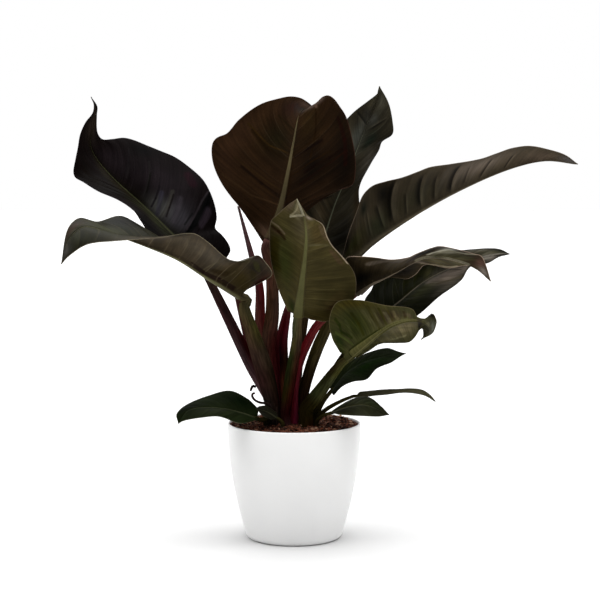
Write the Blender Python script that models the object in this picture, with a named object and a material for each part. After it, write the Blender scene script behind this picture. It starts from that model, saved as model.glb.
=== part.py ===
"""A potted philodendron: fourteen dark leaves on their stalks, rising from a round tapered pot.

Metres, +Z up. The origin is on the pot's axis, at its underside. The plant's front is -Y.
"""

import math

import bmesh
import bpy
from mathutils import Vector
from mathutils.geometry import interpolate_bezier

# ---- driving dimensions
GAP = 0.0003  # between pieces that touch

POT_HEIGHT = 0.156
POT_RIM_RADIUS = 0.0903
POT_FOOT_RADIUS = 0.0635  # where the side's curve would meet the floor, before the corner is rounded
POT_SIDE_POWER = 1.91  # the side leaves the rim upright and bends in more and more towards the foot
POT_CORNER_RADIUS = 0.008
POT_LIP_ROUND = 0.0008
POT_WALL = 0.0028
POT_FLOOR = 0.003
POT_SIDE_STEPS = 9
TURNED_SIDES = 48

SOIL_TOP = 0.154  # the level bed that the stalks stand on
SOIL_BED_RADIUS = 0.052
SOIL_EDGE_DROP = 0.001  # the soil falls this far from the bed to the pot's wall

BLADE_THICKNESS = 0.0012
BLADE_ARCH = 0.06  # how far each half of a blade bows up, as a share of its width
BLADE_ROWS = 18
SMALL_BLADE_ROWS = 8
BLADE_TIP_HALF_WIDTH = 0.0008
TIP_LOOK_BACK = 0.04  # as a share of the blade's length
RIB_DEPTH = 1.2  # how far the midrib stands below the blade, as a share of its half width there
RIB_TIP_HALF_WIDTH = 0.0006
RIB_WIDEST = 0.35  # the midrib's half width is at most this share of either half of the blade
RIB_CROWDING = 1.25  # above 1, the rows crowd towards the blade's base, where the side veins fan out
BLADE_COLUMNS = (0.3, 0.65, 1.0)  # across each half, from the midrib's edge to the margin

TUBE_STEP = 0.025  # between the rings of a stalk, spear or root
TUBE_FEWEST_STEPS = 4
TUBE_END_SHARE = 0.03  # the first and last short steps, which keep the end faces square to the guide's ends
ROOT_RADII = (0.0016, 0.0014, 0.0009)

CURVE_STEPS = 12  # between two guide points
SHARP_ANGLE = math.radians(40)  # edges that turn more than this aren't shaded smooth

# base colour, roughness
MATERIALS = {
    "pot_white": ((0.80, 0.80, 0.79), 0.35),
    "potting_mix": ((0.085, 0.040, 0.022), 0.95),
    "blade_purple": ((0.022, 0.013, 0.020), 0.40),
    "blade_brown": ((0.040, 0.024, 0.014), 0.45),
    "blade_taupe": ((0.050, 0.042, 0.030), 0.50),
    "blade_olive": ((0.046, 0.045, 0.018), 0.45),
    "blade_green": ((0.014, 0.022, 0.011), 0.40),
    "stalk_red": ((0.110, 0.010, 0.016), 0.45),
    "stalk_purple": ((0.055, 0.020, 0.024), 0.45),
    "stalk_olive": ((0.060, 0.055, 0.025), 0.45),
    "root_black": ((0.010, 0.007, 0.006), 0.80),
}


def clear_scene():
    for old in list(bpy.data.objects):
        bpy.data.objects.remove(old, do_unlink=True)


def material(name):
    """The named material, made the first time it is asked for."""
    made = bpy.data.materials.get(name)
    if made is None:
        colour, roughness = MATERIALS[name]
        made = bpy.data.materials.new(name)
        made.use_nodes = True
        shader = made.node_tree.nodes["Principled BSDF"]
        shader.inputs["Base Color"].default_value = (*colour, 1.0)
        shader.inputs["Roughness"].default_value = roughness
    return made


def add_mesh(name, mesh_maker, material_name):
    """A smooth-shaded mesh object from a bmesh, with its faces turned outwards."""
    bmesh.ops.recalc_face_normals(mesh_maker, faces=mesh_maker.faces)
    mesh = bpy.data.meshes.new(name)
    mesh_maker.to_mesh(mesh)
    mesh_maker.free()
    mesh.shade_smooth()
    mesh.set_sharp_from_angle(angle=SHARP_ANGLE)
    mesh.materials.append(material(material_name))
    made = bpy.data.objects.new(name, mesh)
    bpy.context.scene.collection.objects.link(made)
    return made


class Guide:
    """A smooth curve through hand-placed points, read by the share of its length."""

    def __init__(self, points):
        knots = [Vector(point) for point in points]
        self.line = [knots[0]]
        for i in range(len(knots) - 1):
            start, end = knots[i], knots[i + 1]
            before, after = knots[max(i - 1, 0)], knots[min(i + 2, len(knots) - 1)]
            reach = (end - start).length / 3
            leaving = (end - before) / ((end - start).length + (start - before).length)
            arriving = (after - start) / ((after - end).length + (end - start).length)
            handles = start + leaving * reach, end - arriving * reach
            self.line += interpolate_bezier(start, *handles, end, CURVE_STEPS + 1)[1:]
        self.lengths = [0.0]
        for a, b in zip(self.line, self.line[1:]):
            self.lengths.append(self.lengths[-1] + (b - a).length)

    def at(self, share):
        """The point at this share of the length, from 0 to 1."""
        wanted = share * self.lengths[-1]
        i = 1
        while i < len(self.lengths) - 1 and self.lengths[i] < wanted:
            i += 1
        part = (wanted - self.lengths[i - 1]) / (self.lengths[i] - self.lengths[i - 1])
        return self.line[i - 1].lerp(self.line[i], part)

    def direction(self, share):
        return (self.at(min(share + 0.01, 1)) - self.at(max(share - 0.01, 0))).normalized()


def add_turned(name, profile, material_name):
    """A solid of revolution about +Z. The (radius, height) profile starts and ends on the axis."""
    maker = bmesh.new()
    ends = [maker.verts.new((0, 0, profile[0][1])), maker.verts.new((0, 0, profile[-1][1]))]
    rings = []
    for radius, height in profile[1:-1]:
        turns = [2 * math.pi * k / TURNED_SIDES for k in range(TURNED_SIDES)]
        rings.append([maker.verts.new((radius * math.cos(a), radius * math.sin(a), height)) for a in turns])
    for k in range(TURNED_SIDES):
        after = (k + 1) % TURNED_SIDES
        for ring, above in zip(rings, rings[1:]):
            maker.faces.new((ring[k], ring[after], above[after], above[k]))
        maker.faces.new((ends[0], rings[0][after], rings[0][k]))
        maker.faces.new((ends[1], rings[-1][k], rings[-1][after]))
    return add_mesh(name, maker, material_name)


def add_tube(name, points, radii, material_name):
    """A tapered round stalk along a guide curve, as a curve object with a bevel and filled caps."""
    guide, thickness = Guide(points), Guide([(i, radius * 1000, 0) for i, radius in enumerate(radii)])
    steps = max(TUBE_FEWEST_STEPS, round(guide.lengths[-1] / TUBE_STEP))
    shares = [0, TUBE_END_SHARE] + [k / steps for k in range(1, steps)] + [1 - TUBE_END_SHARE, 1]
    curve = bpy.data.curves.new(name, "CURVE")
    curve.dimensions = "3D"
    curve.bevel_depth = 1.0
    curve.bevel_resolution = 2
    curve.use_fill_caps = True
    spline = curve.splines.new("POLY")
    spline.points.add(len(shares) - 1)
    for point, share in zip(spline.points, shares):
        point.co = (*guide.at(share), 1)
        point.radius = thickness.at(share).y / 1000
    spline.use_smooth = True
    curve.materials.append(material(material_name))
    made = bpy.data.objects.new(name, curve)
    bpy.context.scene.collection.objects.link(made)
    return made


def side_radius(height):
    """The pot's outer radius at a height, without the rounded corner."""
    share = 1 - height / POT_HEIGHT
    return POT_RIM_RADIUS - (POT_RIM_RADIUS - POT_FOOT_RADIUS) * share**POT_SIDE_POWER


def side_heights():
    return [POT_HEIGHT * k / POT_SIDE_STEPS for k in range(1, POT_SIDE_STEPS)]


def arc(centre, radius, start, end, steps):
    """Points of a round corner, with its angles in degrees."""
    turns = [math.radians(start + (end - start) * k / steps) for k in range(steps + 1)]
    return [(centre[0] + radius * math.cos(a), centre[1] + radius * math.sin(a)) for a in turns]


def add_pot():
    corner = (side_radius(POT_CORNER_RADIUS) - POT_CORNER_RADIUS, POT_CORNER_RADIUS)
    outer = arc(corner, POT_CORNER_RADIUS, -90, -15, 4) + [(side_radius(z), z) for z in side_heights()]
    lip = arc((POT_RIM_RADIUS - POT_LIP_ROUND, POT_HEIGHT - POT_LIP_ROUND), POT_LIP_ROUND, 0, 90, 2)
    lip.append((POT_RIM_RADIUS - POT_WALL, POT_HEIGHT))
    inner = [(side_radius(z) - POT_WALL, z) for z in reversed(side_heights())]
    inner.append((corner[0], POT_FLOOR))
    add_turned("pot", [(0, 0)] + outer + lip + inner + [(0, POT_FLOOR)], "pot_white")


def add_potting_mix():
    """The soil fills the pot. It is level under the plant and falls a little towards the wall."""
    floor = POT_FLOOR + GAP
    foot_radius = side_radius(POT_CORNER_RADIUS) - POT_CORNER_RADIUS - GAP
    wall = [(side_radius(z) - POT_WALL - GAP, z) for z in side_heights()]
    edge_height = SOIL_TOP - SOIL_EDGE_DROP
    wall.append((side_radius(edge_height) - POT_WALL - GAP, edge_height))
    edge_radius = wall[-1][0]
    top = []
    for share in (0.75, 0.5, 0.25, 0):
        fall = SOIL_EDGE_DROP * (1 - math.cos(math.pi * share)) / 2
        top.append((SOIL_BED_RADIUS + (edge_radius - SOIL_BED_RADIUS) * share, SOIL_TOP - fall))
    profile = [(0, floor), (foot_radius, floor)] + wall + top + [(0, SOIL_TOP)]
    add_turned("potting_mix", profile, "potting_mix")


class Blade:
    """A leaf blade between three guide curves: the midrib and the two margins.

    left and right are as seen on the upper side with the tip away. Each margin runs from the back of
    its lobe to the tip, so the blade's first row is its notch, with the joint in the middle.
    """

    def __init__(self, rib, left, right, neck):
        self.rib = Guide(rib)
        self.margins = {-1: Guide(left + [rib[-1]]), 1: Guide(right + [rib[-1]])}
        self.neck = neck

    def across(self, share, side):
        """From the midrib towards one margin: the offset, and the same square to the midrib."""
        root = self.rib.at(share**RIB_CROWDING)
        along = self.rib.direction(share**RIB_CROWDING)
        offset = self.margins[side].at(share) - root
        square = offset - along * offset.dot(along)
        if square.length >= BLADE_TIP_HALF_WIDTH:
            return offset, square
        # The halves meet at the tip, so it takes its direction from a little further back.
        back = self.across(share - TIP_LOOK_BACK, side)[1].normalized() * BLADE_TIP_HALF_WIDTH
        return back, back

    def half_rib(self, share):
        wide = self.neck * (1 - share) + RIB_TIP_HALF_WIDTH
        return min([wide] + [RIB_WIDEST * self.across(share, side)[1].length for side in (-1, 1)])

    def row(self, share):
        """Points from the left margin over the midrib to the right margin."""
        root = self.rib.at(share**RIB_CROWDING)
        along = self.rib.direction(share**RIB_CROWDING)
        halves = {}
        for side in (-1, 1):
            offset, square = self.across(share, side)
            up = square.cross(along).normalized() * side
            edge = square.normalized() * self.half_rib(share)
            half = [edge]
            for column in BLADE_COLUMNS:
                bow = up * (4 * column * (1 - column) * BLADE_ARCH * square.length)
                half.append(edge.lerp(offset, column) + bow)
            halves[side] = [root + point for point in half]
        return halves[-1][::-1] + [root] + halves[1]

    def joint(self):
        """The middle of the blade's base, the direction in which it starts, and its upper side."""
        along = self.rib.direction(0)
        wide = self.across(0, 1)[1].normalized() - self.across(0, -1)[1].normalized()
        return self.rib.at(0), along, wide.cross(along).normalized()

    def add(self, name, rows, material_name):
        middle = [self.row(k / rows) for k in range(rows + 1)]
        last_row, last_column = len(middle) - 1, len(middle[0]) - 1
        centre = last_column // 2
        maker = bmesh.new()
        upper, lower = [], []
        for i, points in enumerate(middle):
            upper.append([])
            lower.append([])
            for j, point in enumerate(points):
                forward = middle[min(i + 1, last_row)][j] - middle[max(i - 1, 0)][j]
                outward = points[min(j + 1, last_column)] - points[max(j - 1, 0)]
                up = outward.cross(forward).normalized()
                depth = self.half_rib(i / rows) * RIB_DEPTH if j == centre else 0
                upper[-1].append(maker.verts.new(point + up * BLADE_THICKNESS / 2))
                lower[-1].append(maker.verts.new(point - up * (BLADE_THICKNESS / 2 + depth)))
        for i in range(last_row):
            for j in range(last_column):
                for skin in (upper, lower):
                    maker.faces.new((skin[i][j], skin[i][j + 1], skin[i + 1][j + 1], skin[i + 1][j]))
        border = [(0, j) for j in range(last_column)]
        border += [(i, last_column) for i in range(last_row)]
        border += [(last_row, j) for j in range(last_column, 0, -1)]
        border += [(i, 0) for i in range(last_row, 0, -1)]
        for (i, j), (m, n) in zip(border, border[1:] + border[:1]):
            maker.faces.new((upper[i][j], upper[m][n], lower[m][n], lower[i][j]))
        return add_mesh(name, maker, material_name)


def rising_from(base, radius):
    """The first points of a stalk: it leaves the soil upright, so its end face lies flat on the bed."""
    return [Vector((*base, SOIL_TOP + GAP + step * radius)) for step in (0, 1.5, 3)]


def add_leaf(name, base, stalk, radii, rib, left, right, colours, rows=BLADE_ROWS):
    """One leaf: its blade, and the stalk that carries it from the soil to the blade's joint.

    base is where the stalk stands on the soil, and stalk the points it passes. radii are the stalk's,
    from the soil to the joint. colours names the stalk's material, then the blade's.
    """
    stalk_colour, blade_colour = colours
    blade = Blade(rib, left, right, radii[-1] + GAP)
    blade.add("blade_" + name, rows, blade_colour)
    joint, along, up = blade.joint()
    end = joint - along * GAP * 2 - up * radii[-1] / 2
    points = rising_from(base, radii[0]) + stalk + [end - along * 2 * radii[-1], end]
    add_tube("petiole_" + name, points, radii, stalk_colour)


def add_spear(name, base, points, radii, colour):
    """A young leaf still rolled, the pointed sheath that once wrapped one, or a root."""
    add_tube(name, rising_from(base, radii[0]) + points, radii, colour)


clear_scene()
add_pot()
add_potting_mix()

# ---- the tall leaves at the back
add_leaf(
    "upper_left",
    base=(-0.027, 0.008),
    stalk=[(-0.057, 0.014, 0.230), (-0.099, 0.024, 0.314), (-0.116, 0.027, 0.348)],
    radii=(0.0072, 0.0082, 0.0084, 0.0042),
    rib=[(-0.138, 0.030, 0.385), (-0.168, 0.044, 0.411), (-0.204, 0.066, 0.444), (-0.263, 0.095, 0.496),
         (-0.286, 0.103, 0.531), (-0.280, 0.099, 0.562), (-0.278, 0.096, 0.584), (-0.283, 0.091, 0.599)],
    left=[(-0.146, 0.018, 0.370), (-0.184, 0.009, 0.395), (-0.207, 0.018, 0.427),
          (-0.218, 0.024, 0.442), (-0.240, 0.037, 0.456), (-0.270, 0.055, 0.468),
          (-0.293, 0.070, 0.481), (-0.304, 0.075, 0.487), (-0.307, 0.078, 0.495),
          (-0.305, 0.082, 0.510), (-0.302, 0.088, 0.528), (-0.299, 0.092, 0.547),
          (-0.292, 0.096, 0.564), (-0.282, 0.097, 0.577), (-0.280, 0.095, 0.589)],
    right=[(-0.094, 0.050, 0.375), (-0.088, 0.054, 0.386), (-0.091, 0.056, 0.396),
           (-0.100, 0.057, 0.408), (-0.109, 0.059, 0.417), (-0.107, 0.063, 0.431),
           (-0.110, 0.069, 0.448), (-0.117, 0.075, 0.467), (-0.128, 0.081, 0.485),
           (-0.150, 0.091, 0.504), (-0.168, 0.097, 0.516), (-0.187, 0.102, 0.524),
           (-0.207, 0.107, 0.532), (-0.227, 0.111, 0.540), (-0.241, 0.112, 0.543),
           (-0.257, 0.109, 0.541), (-0.270, 0.105, 0.541), (-0.276, 0.100, 0.551),
           (-0.276, 0.097, 0.574), (-0.275, 0.095, 0.586)],
    colours=("stalk_purple", "blade_purple"),
)
add_leaf(
    "centre_back",
    base=(-0.024, -0.006),
    stalk=[(-0.034, -0.008, 0.255), (-0.029, -0.010, 0.309), (-0.031, -0.010, 0.366)],
    radii=(0.0070, 0.0086, 0.0094, 0.0096, 0.0060),
    rib=[(-0.033, -0.010, 0.403), (-0.019, -0.014, 0.444), (-0.008, -0.016, 0.494),
         (-0.001, -0.012, 0.531), (0.009, 0.004, 0.573), (0.029, 0.040, 0.578)],
    left=[(0.012, 0.010, 0.437), (0.038, 0.013, 0.457), (0.062, 0.015, 0.470), (0.079, 0.020, 0.477),
          (0.083, 0.022, 0.497), (0.082, 0.022, 0.519), (0.077, 0.018, 0.544), (0.070, 0.015, 0.568),
          (0.061, 0.012, 0.582), (0.053, 0.009, 0.592), (0.045, 0.008, 0.596), (0.037, 0.009, 0.593),
          (0.032, 0.024, 0.585)],
    right=[(-0.040, 0.002, 0.397), (-0.057, 0.008, 0.423), (-0.073, 0.012, 0.446),
           (-0.087, 0.014, 0.463), (-0.098, 0.016, 0.479), (-0.107, 0.018, 0.498),
           (-0.111, 0.018, 0.516), (-0.110, 0.018, 0.532), (-0.104, 0.018, 0.540),
           (-0.090, 0.017, 0.546), (-0.074, 0.015, 0.564), (-0.046, 0.013, 0.584),
           (-0.017, 0.014, 0.593), (-0.004, 0.016, 0.595), (0.009, 0.019, 0.593),
           (0.021, 0.028, 0.586)],
    colours=("stalk_purple", "blade_brown"),
)
add_leaf(
    "upper_right",
    base=(0.003, -0.003),
    stalk=[(0.008, 0.006, 0.240), (0.016, 0.020, 0.300)],
    radii=(0.0050, 0.0045, 0.0045, 0.0035),
    rib=[(0.033, 0.040, 0.377), (0.055, 0.061, 0.446), (0.072, 0.073, 0.486), (0.089, 0.086, 0.530),
         (0.103, 0.095, 0.565), (0.115, 0.097, 0.595), (0.119, 0.095, 0.614)],
    left=[(0.011, 0.036, 0.393), (-0.002, 0.041, 0.449), (0.023, 0.055, 0.510), (0.058, 0.071, 0.551),
          (0.082, 0.083, 0.577), (0.105, 0.091, 0.595), (0.117, 0.093, 0.605)],
    right=[(0.067, 0.054, 0.371), (0.091, 0.066, 0.403), (0.091, 0.078, 0.445), (0.091, 0.085, 0.474),
           (0.107, 0.096, 0.506), (0.119, 0.100, 0.526), (0.123, 0.102, 0.537), (0.138, 0.105, 0.548),
           (0.138, 0.104, 0.565), (0.132, 0.100, 0.591)],
    colours=("stalk_purple", "blade_green"),
)
add_leaf(
    "long_right",
    base=(0.012, -0.011),
    stalk=[(0.013, -0.012, 0.196), (0.021, -0.010, 0.228), (0.032, -0.007, 0.259),
           (0.044, -0.005, 0.287)],
    radii=(0.0062, 0.0066, 0.0072, 0.0078, 0.0076, 0.0045),
    rib=[(0.070, 0.004, 0.368), (0.106, 0.013, 0.400), (0.173, 0.030, 0.443), (0.233, 0.040, 0.474),
         (0.294, 0.044, 0.499), (0.343, 0.046, 0.510), (0.388, 0.046, 0.505)],
    left=[(0.085, 0.044, 0.390), (0.131, 0.079, 0.425), (0.191, 0.098, 0.461), (0.247, 0.101, 0.486),
          (0.301, 0.086, 0.506), (0.347, 0.063, 0.516)],
    right=[(0.065, -0.012, 0.382), (0.072, -0.019, 0.410), (0.084, -0.021, 0.443),
           (0.091, -0.020, 0.462), (0.104, -0.018, 0.475), (0.122, -0.017, 0.481),
           (0.143, -0.016, 0.486), (0.165, -0.013, 0.494), (0.181, -0.011, 0.500),
           (0.208, -0.006, 0.504), (0.249, 0.004, 0.511), (0.273, 0.011, 0.519), (0.294, 0.017, 0.526),
           (0.319, 0.024, 0.529), (0.348, 0.034, 0.524), (0.371, 0.043, 0.517)],
    colours=("stalk_olive", "blade_taupe"),
)

# ---- the leaves that spread at mid height
add_leaf(
    "left",
    base=(-0.028, -0.023),
    stalk=[(-0.038, -0.026, 0.224), (-0.055, -0.030, 0.279), (-0.066, -0.031, 0.315)],
    radii=(0.0080, 0.0102, 0.0116, 0.0122, 0.0112, 0.0058),
    rib=[(-0.070, -0.032, 0.332), (-0.106, -0.049, 0.354), (-0.149, -0.069, 0.382),
         (-0.193, -0.086, 0.401), (-0.232, -0.103, 0.415), (-0.265, -0.118, 0.423),
         (-0.283, -0.129, 0.406), (-0.291, -0.135, 0.377)],
    left=[(-0.049, -0.060, 0.346), (-0.028, -0.076, 0.361), (-0.038, -0.084, 0.379),
          (-0.047, -0.088, 0.386), (-0.066, -0.093, 0.379), (-0.084, -0.100, 0.382),
          (-0.109, -0.110, 0.404), (-0.128, -0.115, 0.415), (-0.168, -0.125, 0.410),
          (-0.223, -0.136, 0.406), (-0.257, -0.141, 0.402), (-0.280, -0.138, 0.388)],
    right=[(-0.060, 0.009, 0.348), (-0.094, 0.021, 0.371), (-0.134, 0.011, 0.398),
           (-0.182, -0.010, 0.408), (-0.204, -0.026, 0.423), (-0.227, -0.048, 0.436),
           (-0.254, -0.073, 0.429), (-0.274, -0.097, 0.434), (-0.286, -0.117, 0.419)],
    colours=("stalk_olive", "blade_taupe"),
)
add_leaf(
    "centre_front",
    base=(-0.012, -0.027),
    stalk=[(-0.004, -0.040, 0.225), (0.004, -0.056, 0.274)],
    radii=(0.0060, 0.0076, 0.0072, 0.0058),
    rib=[(0.006, -0.066, 0.305), (0.010, -0.074, 0.341), (0.015, -0.082, 0.386), (0.016, -0.083, 0.413),
         (0.013, -0.078, 0.435), (0.004, -0.062, 0.458)],
    left=[(0.024, -0.058, 0.300), (0.047, -0.046, 0.298), (0.078, -0.042, 0.325),
          (0.082, -0.047, 0.347), (0.078, -0.052, 0.364), (0.064, -0.059, 0.383),
          (0.051, -0.064, 0.397), (0.044, -0.068, 0.409), (0.038, -0.071, 0.425),
          (0.027, -0.072, 0.432), (0.018, -0.072, 0.437), (0.011, -0.068, 0.447)],
    right=[(-0.008, -0.052, 0.311), (-0.021, -0.040, 0.341), (-0.030, -0.036, 0.375),
           (-0.032, -0.040, 0.404), (-0.030, -0.046, 0.429), (-0.021, -0.052, 0.438),
           (-0.008, -0.058, 0.450)],
    colours=("stalk_olive", "blade_olive"),
)
add_leaf(
    "right_front",
    base=(0.000, -0.018),
    stalk=[(0.001, -0.020, 0.209), (0.007, -0.019, 0.239), (0.018, -0.018, 0.266),
           (0.034, -0.018, 0.293)],
    radii=(0.0058, 0.0054, 0.0058, 0.0060, 0.0056, 0.0038),
    rib=[(0.082, -0.016, 0.332), (0.102, -0.027, 0.347), (0.119, -0.038, 0.356), (0.137, -0.047, 0.366),
         (0.154, -0.054, 0.376), (0.170, -0.058, 0.382), (0.186, -0.062, 0.383), (0.205, -0.066, 0.380),
         (0.225, -0.070, 0.374), (0.240, -0.074, 0.366), (0.255, -0.076, 0.352)],
    left=[(0.091, -0.009, 0.329), (0.110, -0.003, 0.346), (0.122, -0.002, 0.352),
          (0.140, -0.003, 0.352), (0.152, -0.007, 0.351), (0.163, -0.013, 0.358),
          (0.173, -0.020, 0.370), (0.185, -0.029, 0.370), (0.204, -0.041, 0.367),
          (0.221, -0.056, 0.371), (0.233, -0.066, 0.371)],
    right=[(0.068, -0.025, 0.357), (0.069, -0.038, 0.380), (0.086, -0.052, 0.383),
           (0.107, -0.065, 0.382), (0.126, -0.075, 0.380), (0.147, -0.082, 0.383),
           (0.160, -0.087, 0.389), (0.175, -0.091, 0.395), (0.186, -0.093, 0.398),
           (0.200, -0.093, 0.396), (0.217, -0.092, 0.392), (0.231, -0.090, 0.388),
           (0.241, -0.087, 0.385), (0.247, -0.082, 0.375)],
    colours=("stalk_red", "blade_brown"),
)
add_leaf(
    "right_back",
    base=(0.022, -0.002),
    stalk=[(0.049, 0.004, 0.216), (0.079, 0.014, 0.260)],
    radii=(0.0055, 0.0055, 0.0055, 0.0040),
    rib=[(0.109, 0.026, 0.290), (0.140, 0.028, 0.315), (0.177, 0.028, 0.345), (0.212, 0.028, 0.363),
         (0.253, 0.026, 0.376), (0.293, 0.024, 0.383)],
    left=[(0.098, 0.036, 0.307), (0.097, 0.041, 0.319), (0.106, 0.046, 0.332), (0.111, 0.049, 0.342),
          (0.135, 0.060, 0.362), (0.180, 0.065, 0.378), (0.203, 0.063, 0.385), (0.222, 0.056, 0.386),
          (0.242, 0.050, 0.388), (0.265, 0.040, 0.390), (0.281, 0.032, 0.389)],
    right=[(0.133, 0.010, 0.281), (0.167, 0.004, 0.301), (0.195, 0.001, 0.326), (0.225, 0.004, 0.348),
           (0.238, 0.010, 0.366), (0.263, 0.017, 0.371), (0.278, 0.020, 0.379)],
    colours=("stalk_olive", "blade_green"),
)

# ---- the low leaves round the foot of the plant
add_leaf(
    "lower_right_front",
    base=(0.016, -0.030),
    stalk=[(0.029, -0.038, 0.196), (0.053, -0.058, 0.232)],
    radii=(0.0080, 0.0095, 0.0090, 0.0050),
    rib=[(0.069, -0.076, 0.252), (0.088, -0.089, 0.269), (0.119, -0.105, 0.294), (0.140, -0.110, 0.303),
         (0.159, -0.113, 0.304), (0.169, -0.113, 0.300), (0.174, -0.109, 0.290),
         (0.163, -0.103, 0.279)],
    left=[(0.083, -0.068, 0.252), (0.099, -0.052, 0.259), (0.113, -0.052, 0.268),
          (0.136, -0.060, 0.270), (0.150, -0.068, 0.272), (0.157, -0.075, 0.279),
          (0.162, -0.085, 0.289), (0.165, -0.094, 0.292), (0.166, -0.099, 0.287),
          (0.165, -0.102, 0.281)],
    right=[(0.060, -0.072, 0.259), (0.050, -0.072, 0.277), (0.046, -0.073, 0.302),
           (0.056, -0.076, 0.325), (0.083, -0.078, 0.328), (0.101, -0.081, 0.325),
           (0.120, -0.084, 0.321), (0.137, -0.088, 0.320), (0.147, -0.092, 0.319),
           (0.154, -0.095, 0.316), (0.158, -0.099, 0.308), (0.168, -0.104, 0.306),
           (0.177, -0.107, 0.313), (0.182, -0.110, 0.304), (0.181, -0.109, 0.296),
           (0.177, -0.107, 0.287)],
    colours=("stalk_olive", "blade_olive"),
)
add_leaf(
    "lower_right_back",
    base=(0.028, -0.014),
    stalk=[(0.038, -0.016, 0.185)],
    radii=(0.0035, 0.0035, 0.0030, 0.0025),
    rib=[(0.050, -0.014, 0.202), (0.069, -0.022, 0.226), (0.094, -0.030, 0.242), (0.122, -0.036, 0.250),
         (0.148, -0.040, 0.254)],
    left=[(0.046, -0.004, 0.214), (0.059, -0.008, 0.232), (0.080, -0.014, 0.244), (0.102, -0.020, 0.254),
          (0.124, -0.028, 0.260), (0.139, -0.036, 0.256)],
    right=[(0.053, -0.024, 0.196), (0.064, -0.034, 0.209), (0.078, -0.044, 0.217),
           (0.096, -0.050, 0.221), (0.109, -0.050, 0.235), (0.129, -0.046, 0.243),
           (0.140, -0.043, 0.250)],
    colours=("stalk_olive", "blade_green"),
    rows=SMALL_BLADE_ROWS,
)
add_leaf(
    "low_right_narrow",
    base=(0.028, -0.026),
    stalk=[(0.041, -0.026, 0.176), (0.061, -0.028, 0.188)],
    radii=(0.0030, 0.0028, 0.0024, 0.0020),
    rib=[(0.083, -0.030, 0.197), (0.107, -0.045, 0.201), (0.139, -0.060, 0.207), (0.164, -0.072, 0.208),
         (0.184, -0.080, 0.196)],
    left=[(0.091, -0.017, 0.200), (0.122, -0.026, 0.204), (0.143, -0.037, 0.206),
          (0.167, -0.054, 0.208), (0.178, -0.070, 0.203)],
    right=[(0.095, -0.048, 0.198), (0.119, -0.069, 0.203), (0.144, -0.085, 0.208),
           (0.167, -0.086, 0.205)],
    colours=("stalk_olive", "blade_green"),
    rows=SMALL_BLADE_ROWS,
)
add_leaf(
    "low_right_small",
    base=(0.030, -0.036),
    stalk=[(0.038, -0.046, 0.172)],
    radii=(0.0025, 0.0022, 0.0020),
    rib=[(0.049, -0.054, 0.178), (0.071, -0.066, 0.187), (0.094, -0.074, 0.190), (0.124, -0.078, 0.178)],
    left=[(0.057, -0.044, 0.181), (0.071, -0.050, 0.192), (0.086, -0.054, 0.198), (0.100, -0.060, 0.198),
          (0.115, -0.070, 0.187)],
    right=[(0.058, -0.070, 0.177), (0.075, -0.084, 0.178), (0.095, -0.090, 0.178),
           (0.110, -0.086, 0.177)],
    colours=("stalk_olive", "blade_green"),
    rows=SMALL_BLADE_ROWS,
)
add_leaf(
    "low_left",
    base=(-0.037, -0.033),
    stalk=[(-0.039, -0.043, 0.167)],
    radii=(0.0035, 0.0032, 0.0028),
    rib=[(-0.048, -0.046, 0.169), (-0.066, -0.058, 0.177), (-0.089, -0.072, 0.185), (-0.116, -0.082, 0.188),
         (-0.137, -0.090, 0.185), (-0.149, -0.094, 0.169)],
    left=[(-0.055, -0.066, 0.167), (-0.072, -0.090, 0.169), (-0.096, -0.106, 0.180), (-0.120, -0.110, 0.179),
          (-0.141, -0.102, 0.174)],
    right=[(-0.048, -0.034, 0.180), (-0.062, -0.028, 0.192), (-0.085, -0.030, 0.203),
           (-0.112, -0.046, 0.199), (-0.140, -0.068, 0.190), (-0.152, -0.084, 0.180)],
    colours=("stalk_olive", "blade_green"),
    rows=SMALL_BLADE_ROWS,
)
add_leaf(
    "low_left_small",
    base=(-0.015, -0.045),
    stalk=[],
    radii=(0.0025, 0.0022, 0.0020),
    rib=[(-0.022, -0.046, 0.169), (-0.034, -0.050, 0.177), (-0.050, -0.054, 0.183)],
    left=[(-0.030, -0.056, 0.168), (-0.041, -0.060, 0.174)],
    right=[(-0.024, -0.040, 0.176), (-0.036, -0.042, 0.184), (-0.045, -0.048, 0.185)],
    colours=("stalk_olive", "blade_green"),
    rows=SMALL_BLADE_ROWS,
)

# ---- the rolled young leaf and the red sheaths between the stalks
add_spear(
    "spear_young_leaf",
    base=(-0.011, 0.012),
    points=[(-0.044, 0.011, 0.280), (-0.047, 0.010, 0.340), (-0.057, 0.008, 0.380),
            (-0.075, 0.006, 0.448)],
    radii=(0.0050, 0.0068, 0.0082, 0.0078, 0.0040, 0.0014),
    colour="stalk_red",
)
add_spear(
    "sheath_left",
    base=(-0.024, 0.021),
    points=[(-0.054, 0.033, 0.234), (-0.073, 0.041, 0.302), (-0.082, 0.044, 0.341)],
    radii=(0.0042, 0.0058, 0.0062, 0.0030),
    colour="stalk_red",
)
add_spear(
    "sheath_centre",
    base=(-0.009, -0.001),
    points=[(-0.021, 0.004, 0.254), (-0.013, 0.010, 0.301), (-0.001, 0.012, 0.335)],
    radii=(0.0040, 0.0050, 0.0058, 0.0018),
    colour="stalk_red",
)
add_spear(
    "sheath_front",
    base=(-0.011, -0.013),
    points=[(-0.013, -0.016, 0.263), (-0.008, -0.022, 0.300), (-0.003, -0.026, 0.331)],
    radii=(0.0045, 0.0060, 0.0060, 0.0018),
    colour="stalk_red",
)

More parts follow.
